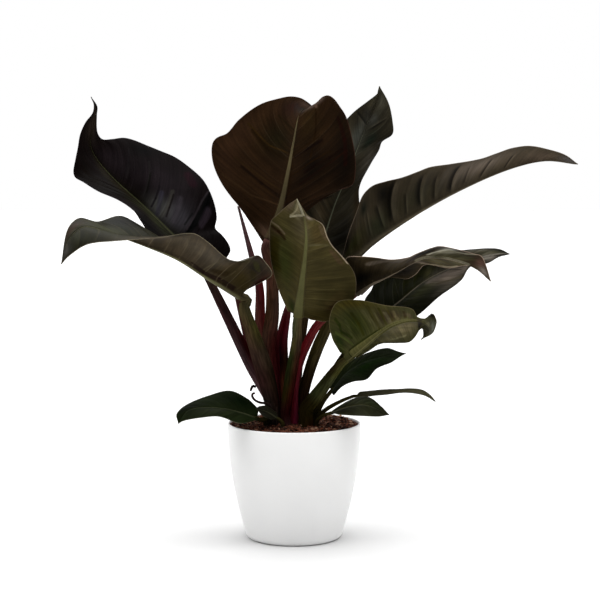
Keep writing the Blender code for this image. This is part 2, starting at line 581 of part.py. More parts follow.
# ---- aerial roots
add_spear(
    "root_curled",
    base=(-0.029, -0.035),
    points=[(-0.031, -0.035, 0.184), (-0.037, -0.036, 0.187), (-0.044, -0.037, 0.188),
            (-0.051, -0.038, 0.191), (-0.055, -0.039, 0.196), (-0.055, -0.039, 0.200),
            (-0.052, -0.038, 0.201)],
    radii=ROOT_RADII,
    colour="root_black",
)
add_spear(
    "root_short",
    base=(-0.024, -0.034),
    points=[(-0.023, -0.033, 0.182)],
    radii=ROOT_RADII,
    colour="root_black",
)
add_tube(
    "root_upper",
    [(-0.0525, 0.011, 0.203), (-0.056, 0.009, 0.204), (-0.058, 0.006, 0.201), (-0.059, 0.005, 0.198)],
    ROOT_RADII,
    "root_black",
)
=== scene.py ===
"""The looks of a potted philodendron: waxy dark leaves on red and green stalks in a white pot."""

import math
import random
from bisect import bisect_left

import bmesh
import bpy
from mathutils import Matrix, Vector, noise
from mathutils.geometry import interpolate_bezier


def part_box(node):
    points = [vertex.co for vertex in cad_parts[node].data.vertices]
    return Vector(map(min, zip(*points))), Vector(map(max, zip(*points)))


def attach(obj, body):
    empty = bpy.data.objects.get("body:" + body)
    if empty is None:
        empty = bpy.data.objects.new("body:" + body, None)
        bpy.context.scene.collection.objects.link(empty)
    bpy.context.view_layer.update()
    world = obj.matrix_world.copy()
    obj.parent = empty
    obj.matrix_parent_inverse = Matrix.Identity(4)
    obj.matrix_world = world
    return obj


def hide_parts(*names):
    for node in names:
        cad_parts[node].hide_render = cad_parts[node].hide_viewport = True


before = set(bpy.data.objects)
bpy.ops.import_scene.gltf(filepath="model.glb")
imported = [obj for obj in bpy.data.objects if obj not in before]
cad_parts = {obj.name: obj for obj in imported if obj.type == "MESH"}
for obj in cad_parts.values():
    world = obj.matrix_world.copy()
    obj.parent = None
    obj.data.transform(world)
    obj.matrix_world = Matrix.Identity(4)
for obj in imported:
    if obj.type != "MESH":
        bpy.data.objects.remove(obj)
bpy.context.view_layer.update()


# ---- The camera.
# It stands two metres in front of the plant, just above the middle of it, with a long portrait lens,
# and looks down by about four degrees.
CAMERA_PLACE = Vector((0.008, -2.0, 0.471))
CAMERA_AIM = Vector((0.008, 0.0, 0.322))
FILM_WIDTH = 36
LENS_LENGTH = 89.4
lens = bpy.data.cameras.new("camera")
lens.sensor_width = FILM_WIDTH
lens.lens = LENS_LENGTH
camera = bpy.data.objects.new("camera", lens)
camera.location = CAMERA_PLACE
camera.rotation_euler = (CAMERA_AIM - CAMERA_PLACE).to_track_quat("-Z", "Y").to_euler()
bpy.context.scene.collection.objects.link(camera)
bpy.context.scene.camera = camera
bpy.context.scene.view_settings.view_transform = "Standard"


# ---- The floor.
# A plain white sweep of studio board, wide enough that its far edge never shows.
FLOOR_REACH = 30.0
FLOOR_WHITE = (0.565, 0.565, 0.565)
FLOOR_ROUGHNESS = 0.9
FLOOR_GLOSS = 0.1


def feed(tree, node, feeds):
    """Each named or numbered input of a node takes a value, or a link from a socket."""
    for name, value in feeds.items():
        if isinstance(value, bpy.types.NodeSocket):
            tree.links.new(value, node.inputs[name])
        elif isinstance(value, tuple) and node.inputs[name].type == "RGBA":
            node.inputs[name].default_value = (*value, 1)
        else:
            node.inputs[name].default_value = value


def put(tree, kind, feeds=None, **settings):
    """A new node with its settings and its inputs."""
    made = tree.nodes.new(kind)
    for name, value in settings.items():
        setattr(made, name, value)
    feed(tree, made, feeds or {})
    return made


def new_material(name):
    """An empty node material: the material, its tree and its Principled shader."""
    made = bpy.data.materials.new(name)
    made.use_nodes = True
    return made, made.node_tree, made.node_tree.nodes["Principled BSDF"]


def new_object(name, maker, material):
    """A smooth mesh object at the origin, from a bmesh."""
    mesh = bpy.data.meshes.new(name)
    maker.to_mesh(mesh)
    maker.free()
    mesh.shade_smooth()
    mesh.materials.append(material)
    made = bpy.data.objects.new(name, mesh)
    bpy.context.scene.collection.objects.link(made)
    return made


board, tree, shader = new_material("studio board")
board_finish = {"Base Color": FLOOR_WHITE, "Roughness": FLOOR_ROUGHNESS, "Specular IOR Level": FLOOR_GLOSS}
feed(tree, shader, board_finish)
maker = bmesh.new()
bmesh.ops.create_grid(maker, x_segments=1, y_segments=1, size=FLOOR_REACH)
floor = new_object("floor", maker, board)


# ---- The pot.
# One piece of moulded white plastic with a satin skin: upright at its rim, curving in towards a small
# rounded foot. It is turned from one profile, its wall and floor a few millimetres thick.
pot_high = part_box("pot")[1]
POT_HEIGHT = pot_high.z
POT_RIM_RADIUS = pot_high.x
POT_FOOT_RADIUS = 0.0635
POT_SIDE_POWER = 1.91
POT_SIDE_STEPS = 40
POT_SIDE_FOOT = 1.6
POT_SIDE_TOP = 0.98
POT_CORNER_RADIUS = 0.008
POT_CORNER_TURN = (-90, -14)
POT_CORNER_STEPS = 12
POT_LIP_ROUND = 0.0011
POT_LIP_STEPS = 6
POT_WALL = 0.0028
POT_FLOOR = 0.003
POT_SIDES = 144
POT_WHITE = (0.80, 0.80, 0.795)
POT_SHADED = tuple(0.985 * part for part in POT_WHITE)
POT_CLOUD_SCALE = 14.0
POT_GRAIN_SCALE = 900.0
POT_GRAIN_STRENGTH = 0.06
POT_GRAIN_DEPTH = 0.0002
POT_GLOSS = 0.5
SEAM = 1e-5


def maths(tree, operation, *values):
    """One Math node's result, from values or sockets."""
    return put(tree, "ShaderNodeMath", dict(enumerate(values)), operation=operation).outputs[0]


def product(tree, *values):
    """All the values multiplied with each other."""
    result = values[0]
    for value in values[1:]:
        result = maths(tree, "MULTIPLY", result, value)
    return result


def fade(tree, value, start, end, low=0.0, high=1.0):
    """A smooth step of a value: low up to start, high from end on."""
    feeds = {"Value": value, "From Min": start, "From Max": end, "To Min": low, "To Max": high}
    return put(tree, "ShaderNodeMapRange", feeds, interpolation_type="SMOOTHSTEP").outputs["Result"]


def mixed(tree, share, first, second, how="MIX"):
    """The colour between two colours, each a value or a socket."""
    feeds = {0: share, 6: first, 7: second}
    return put(tree, "ShaderNodeMix", feeds, data_type="RGBA", blend_type=how).outputs[2]


def scaled(tree, colour, factor):
    """A colour multiplied by another."""
    return mixed(tree, 1.0, colour, factor, "MULTIPLY")


def clouds(tree, where, scale, detail, roughness=0.5):
    """A noise texture's value."""
    feeds = {"Vector": where, "Scale": scale, "Detail": detail, "Roughness": roughness}
    return put(tree, "ShaderNodeTexNoise", feeds).outputs[0]


def object_place(tree):
    """The place in the object's own frame."""
    return put(tree, "ShaderNodeTexCoord").outputs["Object"]


def finish(tree, shader, colour, roughness, gloss, height, strength, depth):
    """Gives a shader its colour, its roughness, its gloss and its bumps."""
    bump = put(tree, "ShaderNodeBump", {"Height": height, "Strength": strength, "Distance": depth})
    feed(tree, shader, {"Base Color": colour, "Roughness": roughness, "Specular IOR Level": gloss,
                        "Normal": bump.outputs[0]})


def new_group(name, kind, takes, gives):
    """A node group with named sockets: takes and gives map a socket's name to its type."""
    tree = bpy.data.node_groups.new(name, kind)
    for way, sockets in (("INPUT", takes), ("OUTPUT", gives)):
        for socket, what in sockets.items():
            tree.interface.new_socket(socket, in_out=way, socket_type="NodeSocket" + what)
    return tree, tree.nodes.new("NodeGroupInput").outputs, tree.nodes.new("NodeGroupOutput")


def dress(tree, given, out, shape):
    """The end of a geometry tree: instances made real, and the material set."""
    plain = put(tree, "GeometryNodeRealizeInstances", {"Geometry": shape.outputs[0]})
    feeds = {"Geometry": plain.outputs[0], "Material": given["Material"]}
    feed(tree, out, {"Geometry": put(tree, "GeometryNodeSetMaterial", feeds).outputs[0]})


def turned_tree():
    """Geometry nodes that turn a profile, an open line of points, about the vertical axis."""
    takes = {"Geometry": "Geometry", "Profile Points": "Int", "Sides": "Int", "Material": "Material"}
    tree, given, out = new_group("turned about the axis", "GeometryNodeTree", takes, {"Geometry": "Geometry"})
    columns = maths(tree, "ADD", given["Sides"], 1)
    grid = put(tree, "GeometryNodeMeshGrid", {"Vertices X": columns, "Vertices Y": given["Profile Points"]})
    index = put(tree, "GeometryNodeInputIndex").outputs[0]
    on_profile = maths(tree, "FLOORED_MODULO", index, given["Profile Points"])
    side = maths(tree, "FLOOR", maths(tree, "DIVIDE", index, given["Profile Points"]))
    turn = maths(tree, "DIVIDE", maths(tree, "MULTIPLY", side, 2 * math.pi), given["Sides"])
    place = put(tree, "GeometryNodeInputPosition").outputs[0]
    feeds = {"Geometry": given["Geometry"], "Value": place, "Index": on_profile}
    sample = put(tree, "GeometryNodeSampleIndex", feeds, data_type="FLOAT_VECTOR").outputs[0]
    spin = put(tree, "ShaderNodeVectorRotate", {"Vector": sample, "Angle": turn}, rotation_type="Z_AXIS")
    feeds = {"Geometry": grid.outputs["Mesh"], "Position": spin.outputs[0]}
    shaped = put(tree, "GeometryNodeSetPosition", feeds).outputs[0]
    dress(tree, given, out, put(tree, "GeometryNodeMergeByDistance", {"Geometry": shaped, "Distance": SEAM}))
    return tree


def grown(name, mesh, tree, **values):
    """The plain mesh object that a geometry nodes tree makes from a mesh."""
    seed = bpy.data.objects.new(name, mesh)
    bpy.context.scene.collection.objects.link(seed)
    modifier = seed.modifiers.new("nodes", "NODES")
    modifier.node_group = tree
    sockets = {item.name: item.identifier for item in tree.interface.items_tree if item.in_out == "INPUT"}
    for label, value in values.items():
        modifier[sockets[label.replace("_", " ")]] = value
    graph = bpy.context.evaluated_depsgraph_get()
    plain = bpy.data.meshes.new_from_object(seed.evaluated_get(graph))
    seed.modifiers.remove(modifier)
    seed.data = plain
    plain.name = name
    plain.shade_smooth()
    return seed


def turned(name, profile, sides, material):
    """A closed solid of revolution from a (radius, height) profile that starts and ends on the axis."""
    line = bpy.data.meshes.new(name + " profile")
    line.from_pydata([(radius, 0, height) for radius, height in profile], [], [])
    made = grown(name, line, TURNED, Profile_Points=len(profile), Sides=sides, Material=material)
    maker = bmesh.new()
    maker.from_mesh(made.data)
    bmesh.ops.recalc_face_normals(maker, faces=maker.faces)
    maker.to_mesh(made.data)
    maker.free()
    return made


def stands_for(piece, node):
    """The piece is part of the plant's one body and takes a CAD node's place."""
    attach(piece, "root")
    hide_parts(node)


def arc(centre, radius, start, end, steps):
    """Points on an arc, from one angle to another in degrees."""
    turns = [math.radians(start + (end - start) * k / steps) for k in range(steps + 1)]
    return [(centre[0] + radius * math.cos(turn), centre[1] + radius * math.sin(turn)) for turn in turns]


def side_radius(height):
    """The pot's outer radius at a height."""
    share = 1 - height / POT_HEIGHT
    return POT_RIM_RADIUS - (POT_RIM_RADIUS - POT_FOOT_RADIUS) * share**POT_SIDE_POWER


def pot_profile():
    """The pot's section: foot, outer side, lip, inner side and inner floor."""
    corner = (side_radius(POT_CORNER_RADIUS) - POT_CORNER_RADIUS, POT_CORNER_RADIUS)
    low, high = POT_CORNER_RADIUS * POT_SIDE_FOOT, POT_HEIGHT * POT_SIDE_TOP
    heights = [low + (high - low) * k / POT_SIDE_STEPS for k in range(POT_SIDE_STEPS + 1)]
    outer = arc(corner, POT_CORNER_RADIUS, *POT_CORNER_TURN, POT_CORNER_STEPS)
    outer += [(side_radius(z), z) for z in heights]
    lip_height = POT_HEIGHT - POT_LIP_ROUND
    lip = arc((POT_RIM_RADIUS - POT_LIP_ROUND, lip_height), POT_LIP_ROUND, 0, 90, POT_LIP_STEPS)
    inside = POT_RIM_RADIUS - POT_WALL + POT_LIP_ROUND
    lip += arc((inside, lip_height), POT_LIP_ROUND, 90, 180, POT_LIP_STEPS)
    inner = [(side_radius(z) - POT_WALL, z) for z in reversed(heights)] + [(corner[0], POT_FLOOR)]
    return [(0, 0)] + outer + lip + inner + [(0, POT_FLOOR)]


def pot_plastic():
    """White plastic, a little clouded, with a fine grain."""
    made, tree, shader = new_material("satin white plastic")
    where = object_place(tree)
    cloud = clouds(tree, where, POT_CLOUD_SCALE, 3.0)
    white = mixed(tree, fade(tree, cloud, 0.35, 0.65), POT_WHITE, POT_SHADED)
    finish(tree, shader, white, fade(tree, cloud, 0.3, 0.7, 0.34, 0.42), POT_GLOSS,
           clouds(tree, where, POT_GRAIN_SCALE, 2.0), POT_GRAIN_STRENGTH, POT_GRAIN_DEPTH)
    return made


TURNED = turned_tree()
pot = turned("white_pot", pot_profile(), POT_SIDES, pot_plastic())
stands_for(pot, "pot")


# ---- The potting mix.
# Moist coir and bark, heaped round the stalks and up to the rim at the back on the right. It is one
# lumpy body with loose chips of bark and crumbs of coir lying on it.
mix_low, mix_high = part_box("potting_mix")
MIX_BED_RADIUS = 0.052
MIX_EDGE_DROP = 0.001
MIX_GAP = 0.0003
MIX_WALL_STEPS = 12
MIX_RINGS = 34
MIX_SIDES = 96
MIX_LUMP = 0.0030
MIX_LUMP_SCALE = 95
MIX_LUMP_NOISE = (0.7, 2.0, 3)
# Each heap: its middle, its reach and its height.
MIX_HEAPS = [(0.000, -0.008, 0.034, 0.0035), (0.042, 0.034, 0.028, 0.0042), (-0.050, -0.004, 0.030, 0.0020)]
MIX_DEEPEST = 0.004
MIX_STEEPEST = 0.3
WALL_FADE = 0.006
CHIP_COUNT = 1500
CHIP_SIZE = 0.0068
CHIP_SIDES = (1.0, 0.5, 0.24)
CHIP_LEAN = 0.7
CRUMB_COUNT = 2600
CRUMB_SIZE = 0.0030
CRUMB_SIDES = (0.9, 0.6, 0.5)
CRUMB_LEAN = 1.2
LUMP_SIZES = (0.4, 1.35)
LUMP_BEVEL = 0.22
LUMP_SPREAD = (0.75, 1.2)
LUMP_THICKNESS = (0.7, 1.3)
LOOSE_CLEARANCE = CHIP_SIZE * 0.75
MIX_TOP_MARGIN = 1.05
MIX_DARK = (0.006, 0.003, 0.002)
MIX_BROWN = (0.068, 0.026, 0.015)
MIX_RUST = (0.250, 0.070, 0.032)
MIX_TAN = (0.330, 0.200, 0.130)
MIX_GLOSS = 0.06
MIX_BUMP_STRENGTH = 0.8
MIX_BUMP_DEPTH = 0.0008
mix_edge_radius = side_radius(mix_high.z) - POT_WALL


def mix_profile():
    """The body's section: floor, wall along the pot's inside, and the top, a little lower at its edge."""
    floor = mix_low.z
    foot = side_radius(POT_CORNER_RADIUS) - POT_CORNER_RADIUS - MIX_GAP
    rise = mix_high.z - MIX_EDGE_DROP - floor
    heights = [floor + rise * k / MIX_WALL_STEPS for k in range(1, MIX_WALL_STEPS + 1)]
    wall = [(side_radius(z) - POT_WALL - MIX_GAP, z) for z in heights]
    edge = wall[-1][0]
    top = []
    for k in range(1, MIX_RINGS):
        radius = edge * (1 - k / MIX_RINGS)
        share = max(0.0, (radius - MIX_BED_RADIUS) / (edge - MIX_BED_RADIUS))
        top.append((radius, mix_high.z - MIX_EDGE_DROP * (1 - math.cos(math.pi * share)) / 2))
    return [(0, floor), (foot, floor)] + wall + top + [(0, mix_high.z)]


def heaped(place):
    """How far the mix stands above its level bed at a place."""
    rise = MIX_LUMP * noise.fractal(place * MIX_LUMP_SCALE, *MIX_LUMP_NOISE)
    for x, y, reach, height in MIX_HEAPS:
        rise += height * math.exp(-((place.x - x) ** 2 + (place.y - y) ** 2) / reach**2)
    to_wall = mix_edge_radius - MIX_GAP - place.xy.length
    return rise * min(1.0, to_wall / WALL_FADE)


def crumb_mesh(name, sides, seed):
    """A rough lump one unit long: a box with cut corners and every point moved a little."""
    maker = bmesh.new()
    bmesh.ops.create_cube(maker, size=1.0)
    bmesh.ops.bevel(maker, geom=maker.edges[:], offset=LUMP_BEVEL, segments=1, affect="EDGES")
    chance = random.Random(seed)
    for point in maker.verts:
        point.co.x *= sides[0] * chance.uniform(*LUMP_SPREAD)
        point.co.y *= sides[1] * chance.uniform(*LUMP_SPREAD)
        point.co.z *= sides[2] * chance.uniform(*LUMP_THICKNESS)
    mesh = bpy.data.meshes.new(name)
    maker.to_mesh(mesh)
    maker.free()
    made = bpy.data.objects.new(name, mesh)
    bpy.context.scene.collection.objects.link(made)
    return made


def strewn_tree():
    """Geometry nodes that strew a lump over a surface, each turned, sized and toned by chance."""
    takes = {"Geometry": "Geometry", "Lump": "Object", "Size": "Float", "Density": "Float", "Lean": "Float",
             "Seed": "Int", "Material": "Material"}
    tree, given, out = new_group("strewn over a surface", "GeometryNodeTree", takes, {"Geometry": "Geometry"})

    def random_value(kind, feeds):
        return put(tree, "FunctionNodeRandomValue", feeds, data_type=kind).outputs

    feeds = {"Mesh": given["Geometry"], "Density": given["Density"], "Seed": given["Seed"]}
    points = put(tree, "GeometryNodeDistributePointsOnFaces", feeds)
    lump = put(tree, "GeometryNodeObjectInfo", {"Object": given["Lump"]})
    feeds = {"X": given["Lean"], "Y": given["Lean"], "Z": math.pi}
    lean = put(tree, "ShaderNodeCombineXYZ", feeds).outputs[0]
    back = put(tree, "ShaderNodeVectorMath", {0: lean, 1: (-1, -1, -1)}, operation="MULTIPLY").outputs[0]
    tilt = random_value("FLOAT_VECTOR", {"Min": back, "Max": lean, "Seed": given["Seed"]})["Value"]
    least, most = (maths(tree, "MULTIPLY", given["Size"], part) for part in LUMP_SIZES)
    size = random_value("FLOAT", {2: least, 3: most})[1]
    shade = random_value("FLOAT", {"Seed": maths(tree, "ADD", given["Seed"], 1)})[1]
    feeds = {"Points": points.outputs["Points"], "Instance": lump.outputs["Geometry"], "Rotation": tilt,
             "Scale": size}
    spread = put(tree, "GeometryNodeInstanceOnPoints", feeds).outputs[0]
    feeds = {"Geometry": spread, "Name": "chip_tone", "Value": shade}
    dress(tree, given, out,
          put(tree, "GeometryNodeStoreNamedAttribute", feeds, data_type="FLOAT", domain="INSTANCE"))
    return tree


def mix_finish(name, rust, grain, loose=True):
    """Damp bark in noise patches, near black in some and brown to rust in others. Loose chips differ in tone.
    """
    made, tree, shader = new_material(name)
    where = object_place(tree)
    lumps = clouds(tree, where, grain, 4.0, 0.65)
    fine = clouds(tree, where, grain * 5, 3.0)
    brown = mixed(tree, fade(tree, lumps, 0.38, 0.58), MIX_DARK, MIX_BROWN)
    colour = mixed(tree, maths(tree, "MULTIPLY", fade(tree, fine, 0.46, 0.66), rust), brown, MIX_RUST)
    if loose:
        shade = put(tree, "ShaderNodeAttribute", attribute_name="chip_tone").outputs["Fac"]
        colour = mixed(tree, fade(tree, shade, 0.85, 1.0, 0.0, 0.8), colour, MIX_TAN)
        colour = mixed(tree, fade(tree, shade, 0.15, 0.60, 0.93, 0.0), colour, MIX_DARK)
    rough = fade(tree, fine, 0.3, 0.7, 0.75, 0.95)
    finish(tree, shader, colour, rough, MIX_GLOSS, fine, MIX_BUMP_STRENGTH, MIX_BUMP_DEPTH)
    return made


body_finish = mix_finish("damp potting mix", rust=0.2, grain=200.0, loose=False)
mix = turned("potting_mix_body", mix_profile(), MIX_SIDES, body_finish)
for point in mix.data.vertices:
    on_top = point.co.z > mix_high.z - MIX_EDGE_DROP * MIX_TOP_MARGIN
    if on_top and point.co.xy.length < mix_edge_radius - 2 * MIX_GAP:
        point.co.z += heaped(point.co)
stands_for(mix, "potting_mix")


def buried(face):
    """No loose bits lie on the walls, in the deepest hollows or close to the pot."""
    middle = face.calc_center_median()
    return (face.normal.z < MIX_STEEPEST or middle.z < mix_high.z - MIX_DEEPEST
            or middle.xy.length > mix_edge_radius - LOOSE_CLEARANCE)


maker = bmesh.new()
maker.from_mesh(mix.data)
bmesh.ops.delete(maker, geom=[face for face in maker.faces if buried(face)], context="FACES")
mix_top = bpy.data.meshes.new("mix top")
maker.to_mesh(mix_top)
mix_area = sum(face.calc_area() for face in maker.faces)
maker.free()
STREWN = strewn_tree()
chip = crumb_mesh("chip of bark", CHIP_SIDES, 3)
crumb = crumb_mesh("crumb of coir", CRUMB_SIDES, 8)
loose = [
    grown("bark_flakes", mix_top.copy(), STREWN, Lump=chip, Size=CHIP_SIZE, Density=CHIP_COUNT / mix_area,
          Lean=CHIP_LEAN, Seed=4, Material=mix_finish("bark", rust=0.75, grain=330.0)),
    grown("coir_crumbs", mix_top.copy(), STREWN, Lump=crumb, Size=CRUMB_SIZE, Density=CRUMB_COUNT / mix_area,
          Lean=CRUMB_LEAN, Seed=9, Material=mix_finish("coir", rust=0.9, grain=600.0)),
]
for piece in loose:
    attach(piece, "root")
for lump in (chip, crumb):
    bpy.data.objects.remove(lump, do_unlink=True)


# ---- The tall leaf at the upper left.
# A leaf is one waxy blade on a round fleshy stalk that rises from the soil. This one shows its almost black
# upper side, quilted between its side veins, its gloss painted as grey sheen, and its tip twisted upright.
CURVE_STEPS = 12
DIRECTION_REACH = 0.01
RIB_CROWDING = 1.25
RIB_WIDEST = 0.35
RIB_DEPTH = 1.2
RIB_GROOVE = 0.35
RIB_TAPER = 1.5
RIB_TIP_HALF_WIDTH = 0.0005
RIB_PARTS = (0.3, 0.6, 0.85, 1.0)
BLADE_ARCH = 0.06
BLADE_TIP_HALF_WIDTH = 0.0005
BLADE_THICK = 0.0012
EDGE_THICK = 0.0005
TIP_LOOK_BACK = 0.04
VEIN_SWEEP = 1.4
SWELLS = 60
SWELL_RANGE = (0.45, 1.3)
SWELL_FROM_RIB = 0.18
SWELL_TO_TIP = 6
ROW_STEP = 0.0022
LEAST_ROWS = 30
HALF_COLUMNS = 26
LEAF_SLENDER = 0.3
SKIN_CLOUD_SCALE = 24.0
SKIN_WANDER_SCALE = 38.0
SKIN_PORE_SCALE = 700.0
SKIN_STREAKS = (4.5, 1.3, 5.0)
SKIN_STREAK_TONES = (0.68,) * 3, (1.34,) * 3
SKIN_CLOUD_TONES = (0.78,) * 3, (1.22,) * 3
HALVES_APART = 31.7
SKIN_BUMP_STRENGTH = 0.6
SKIN_BUMP_DEPTH = 0.0006
# Painted shade and painted highlight for each pleat, as factors on the skin's colour.
PLEAT_PAINTED_SHADE = (0.22, 0.21, 0.19)
PLEAT_PAINTED_HIGHLIGHT = (1.6, 1.6, 1.6)
# Painted shade, painted highlight and painted sheen for a fold drawn across a leaf's skin.
CREASE_PAINTED_SHADE = (0.12, 0.11, 0.10)
CREASE_PAINTED_HIGHLIGHT = (1.5, 1.5, 1.5)
CREASE_PAINTED_SHEEN = (0.016, 0.014, 0.011)
WASH_INPUTS = ("Along", "Across", "Reach Along", "Reach Across", "Strength")
STROKE_INPUTS = ("Along From", "Across From", "Along To", "Across To", "Width", "Strength")
PAINTED_FOLD_INPUTS = ("Along From", "Across From", "Along To", "Across To", "Bend", "Width", "Depth", "Light")
SKIN_DEFAULTS = {"Veins Above": 0.25, "Veins Below": 0.4, "Rib Above": 0.45, "Rib Below": 1.0,
                 "Edge Width": 0.8, "Pleats": 0.5, "Streaks": 0.7}
STALK_GLOSS = 0.0
STALK_BLOTCH_TONES = (0.85,) * 3, (1.15,) * 3
STALK_BUMP_STRENGTH = 0.35
STALK_BUMP_DEPTH = 0.0006
STALK_FIBRE_SCALE = 5.0
STALK_BLOTCH_SCALE = 1.3
STALK_FACETS = (6, 0.02)
STALK_GRAIN = 12
STALK_GAP = 0.0003
STALK_RISE = (0, 1.5, 3)
SOIL_TOP = mix_high.z
RING_STEP = 0.004
RING_SIDES = 24
LEAST_RINGS = 8
FOOT_SWELL = 0.30
FOOT_RISE = 0.014
FOOT_DEPTH = 0.004
RUN_ON_SHARES = (0.015, 0.03, 0.05, 0.07)
RUN_ON_SINK = 0.45
RUN_ON_SLIM = 0.72


class Guide:
    """A smooth curve through its guide points, read by the share of its length."""

    def __init__(self, points):
        knots = [Vector(point) for point in points]
        self.line = [knots[0]]
        for i in range(len(knots) - 1):
            start, end = knots[i], knots[i + 1]
            before, after = knots[max(i - 1, 0)], knots[min(i + 2, len(knots) - 1)]
            reach = (end - start).length / 3
            leaving = (end - before) / ((end - start).length + (start - before).length)
            arriving = (after - start) / ((after - end).length + (end - start).length)
            handles = start + leaving * reach, end - arriving * reach
            self.line += interpolate_bezier(start, *handles, end, CURVE_STEPS + 1)[1:]
        self.lengths = [0.0]
        for a, b in zip(self.line, self.line[1:]):
            self.lengths.append(self.lengths[-1] + (b - a).length)

    def at(self, share):
        """The point at this share of the length, from 0 to 1."""
        wanted = share * self.lengths[-1]
        i = min(max(bisect_left(self.lengths, wanted), 1), len(self.lengths) - 1)
        part = (wanted - self.lengths[i - 1]) / (self.lengths[i] - self.lengths[i - 1])
        return self.line[i - 1].lerp(self.line[i], part)

    def direction(self, share):
        """The direction in which the curve runs at this share of its length."""
        ahead, behind = min(share + DIRECTION_REACH, 1), max(share - DIRECTION_REACH, 0)
        return (self.at(ahead) - self.at(behind)).normalized()


class Blade:
    """A leaf blade between its midrib and its two margins, left and right as seen on the upper side.

    veins is how many side veins each half has, shift where the first one starts, lead how far forward
    they run by the margin, as a share of the blade's length, and quilt how high the skin swells between.
    A place on the blade is its share of the length, its column from -1 at the left margin over 0 at the
    midrib to 1 at the right one, and its phase, a whole number on each side vein.
    """

    def __init__(self, rib, left, right, neck, veins, lead, quilt, shift):
        self.rib = Guide(rib)
        self.margins = {-1: Guide(left + [rib[-1]]), 1: Guide(right + [rib[-1]])}
        self.neck, self.veins, self.lead, self.quilt, self.shift = neck, veins, lead, quilt, shift
        chance = random.Random(1)
        self.swell = {side: [chance.uniform(*SWELL_RANGE) for _ in range(SWELLS)] for side in (-1, 1)}

    def across(self, share, side):
        """From the midrib towards one margin: the offset, and the same square to the midrib."""
        root = self.rib.at(share**RIB_CROWDING)
        along = self.rib.direction(share**RIB_CROWDING)
        offset = self.margins[side].at(share) - root
        square = offset - along * offset.dot(along)
        if square.length >= BLADE_TIP_HALF_WIDTH:
            return offset, square
        back = self.across(share - TIP_LOOK_BACK, side)[1].normalized() * BLADE_TIP_HALF_WIDTH
        return back, back

    def half_rib(self, share):
        """Half the midrib's width, which tapers to the tip and stays within the blade."""
        wide = self.neck * (1 - share) ** RIB_TAPER + RIB_TIP_HALF_WIDTH
        return min([wide] + [RIB_WIDEST * self.across(share, side)[1].length for side in (-1, 1)])

    def joint(self):
        """The middle of the blade's base, the direction in which it starts, and its upper side."""
        along = self.rib.direction(0)
        wide = self.across(0, 1)[1].normalized() - self.across(0, -1)[1].normalized()
        return self.rib.at(0), along, wide.cross(along).normalized()

    def row(self, share):
        """One row of the sheet, left margin to right: each point with its place and its reach.

        The reach is the distance from the midrib, in half widths of the midrib, and from the margin in
        millimetres.
        """
        root = self.rib.at(share**RIB_CROWDING)
        along = self.rib.direction(share**RIB_CROWDING)
        half_rib = self.half_rib(share)
        on_rib = (share, 0.0, share * self.veins + self.shift)
        halves = {}
        for side in (-1, 1):
            offset, square = self.across(share, side)
            up = square.cross(along).normalized() * side
            edge = square.normalized() * half_rib
            half = [(root + edge * part, on_rib, (part, 1000 * offset.length)) for part in RIB_PARTS]
            for k in range(1, HALF_COLUMNS + 1):
                column = math.sin(math.pi / 2 * k / HALF_COLUMNS)
                bow = up * (4 * column * (1 - column) * BLADE_ARCH * square.length)
                phase = self.veins * (share - self.lead * column**VEIN_SWEEP) + self.shift
                rib_units = 1 + column * (offset.length - half_rib) / half_rib
                reach = (rib_units, 1000 * (1 - column) * offset.length)
                half.append((root + edge.lerp(offset, column) + bow, (share, side * column, phase), reach))
            halves[side] = half
        return halves[-1][::-1] + [(root, on_rib, (0.0, 1000 * offset.length))] + halves[1]

    def swelling(self, place):
        """How far the skin stands up at a place, none on a side vein, on the midrib or at the margin."""
        share, column, phase = place
        band = math.floor(phase)
        amount = self.swell[1 if column > 0 else -1][band % SWELLS]
        round_top = 1 - (2 * abs(phase - band - 0.5)) ** 2
        reach = min(1.0, abs(column) / SWELL_FROM_RIB) * (1 - abs(column) ** 4)
        return self.quilt * amount * round_top * reach * min(1.0, SWELL_TO_TIP * (1 - share))

    def mesh(self, name, material):
        """The closed blade: an upper and a lower skin, joined round the border."""
        rows = max(LEAST_ROWS, round(self.rib.lengths[-1] / ROW_STEP))
        sheet = [self.row(k / rows) for k in range(rows + 1)]
        last_row, last_column = rows, len(sheet[0]) - 1
        maker = bmesh.new()
        place_layer = maker.verts.layers.float_vector.new("leaf_place")
        reach_layer = maker.verts.layers.float_vector.new("leaf_reach")
        skins = ([], [])
        for i, points in enumerate(sheet):
            half_rib = self.half_rib(i / rows)
            upper, lower = [], []
            for j, (point, place, reach) in enumerate(points):
                forward = sheet[min(i + 1, last_row)][j][0] - sheet[max(i - 1, 0)][j][0]
                outward = points[min(j + 1, last_column)][0] - points[max(j - 1, 0)][0]
                up = outward.cross(forward).normalized()
                point = point + up * self.swelling(place)
                half_thick = (BLADE_THICK + (EDGE_THICK - BLADE_THICK) * abs(place[1])) / 2
                round_rib = math.sqrt(max(0.0, 1 - reach[0] ** 2))
                groove = RIB_GROOVE * half_rib * round_rib**2
                keel = RIB_DEPTH * half_rib * round_rib
                levels = (upper, half_thick - groove, 0.0), (lower, -half_thick - keel, 1.0)
                for skin, level, under in levels:
                    made = maker.verts.new(point + up * level)
                    made[place_layer] = place
                    made[reach_layer] = (*reach, under)
                    skin.append(made)
            skins[0].append(upper)
            skins[1].append(lower)
        for i in range(last_row):
            for j in range(last_column):
                for skin in skins:
                    maker.faces.new((skin[i][j], skin[i][j + 1], skin[i + 1][j + 1], skin[i + 1][j]))
        border = [(0, j) for j in range(last_column)]
        border += [(i, last_column) for i in range(last_row)]
        border += [(last_row, j) for j in range(last_column, 0, -1)]
        border += [(i, 0) for i in range(last_row, 0, -1)]
        for (i, j), (m, n) in zip(border, border[1:] + border[:1]):
            maker.faces.new((skins[0][i][j], skins[0][m][n], skins[1][m][n], skins[1][i][j]))
        bmesh.ops.recalc_face_normals(maker, faces=maker.faces)
        return new_object(name, maker, material)


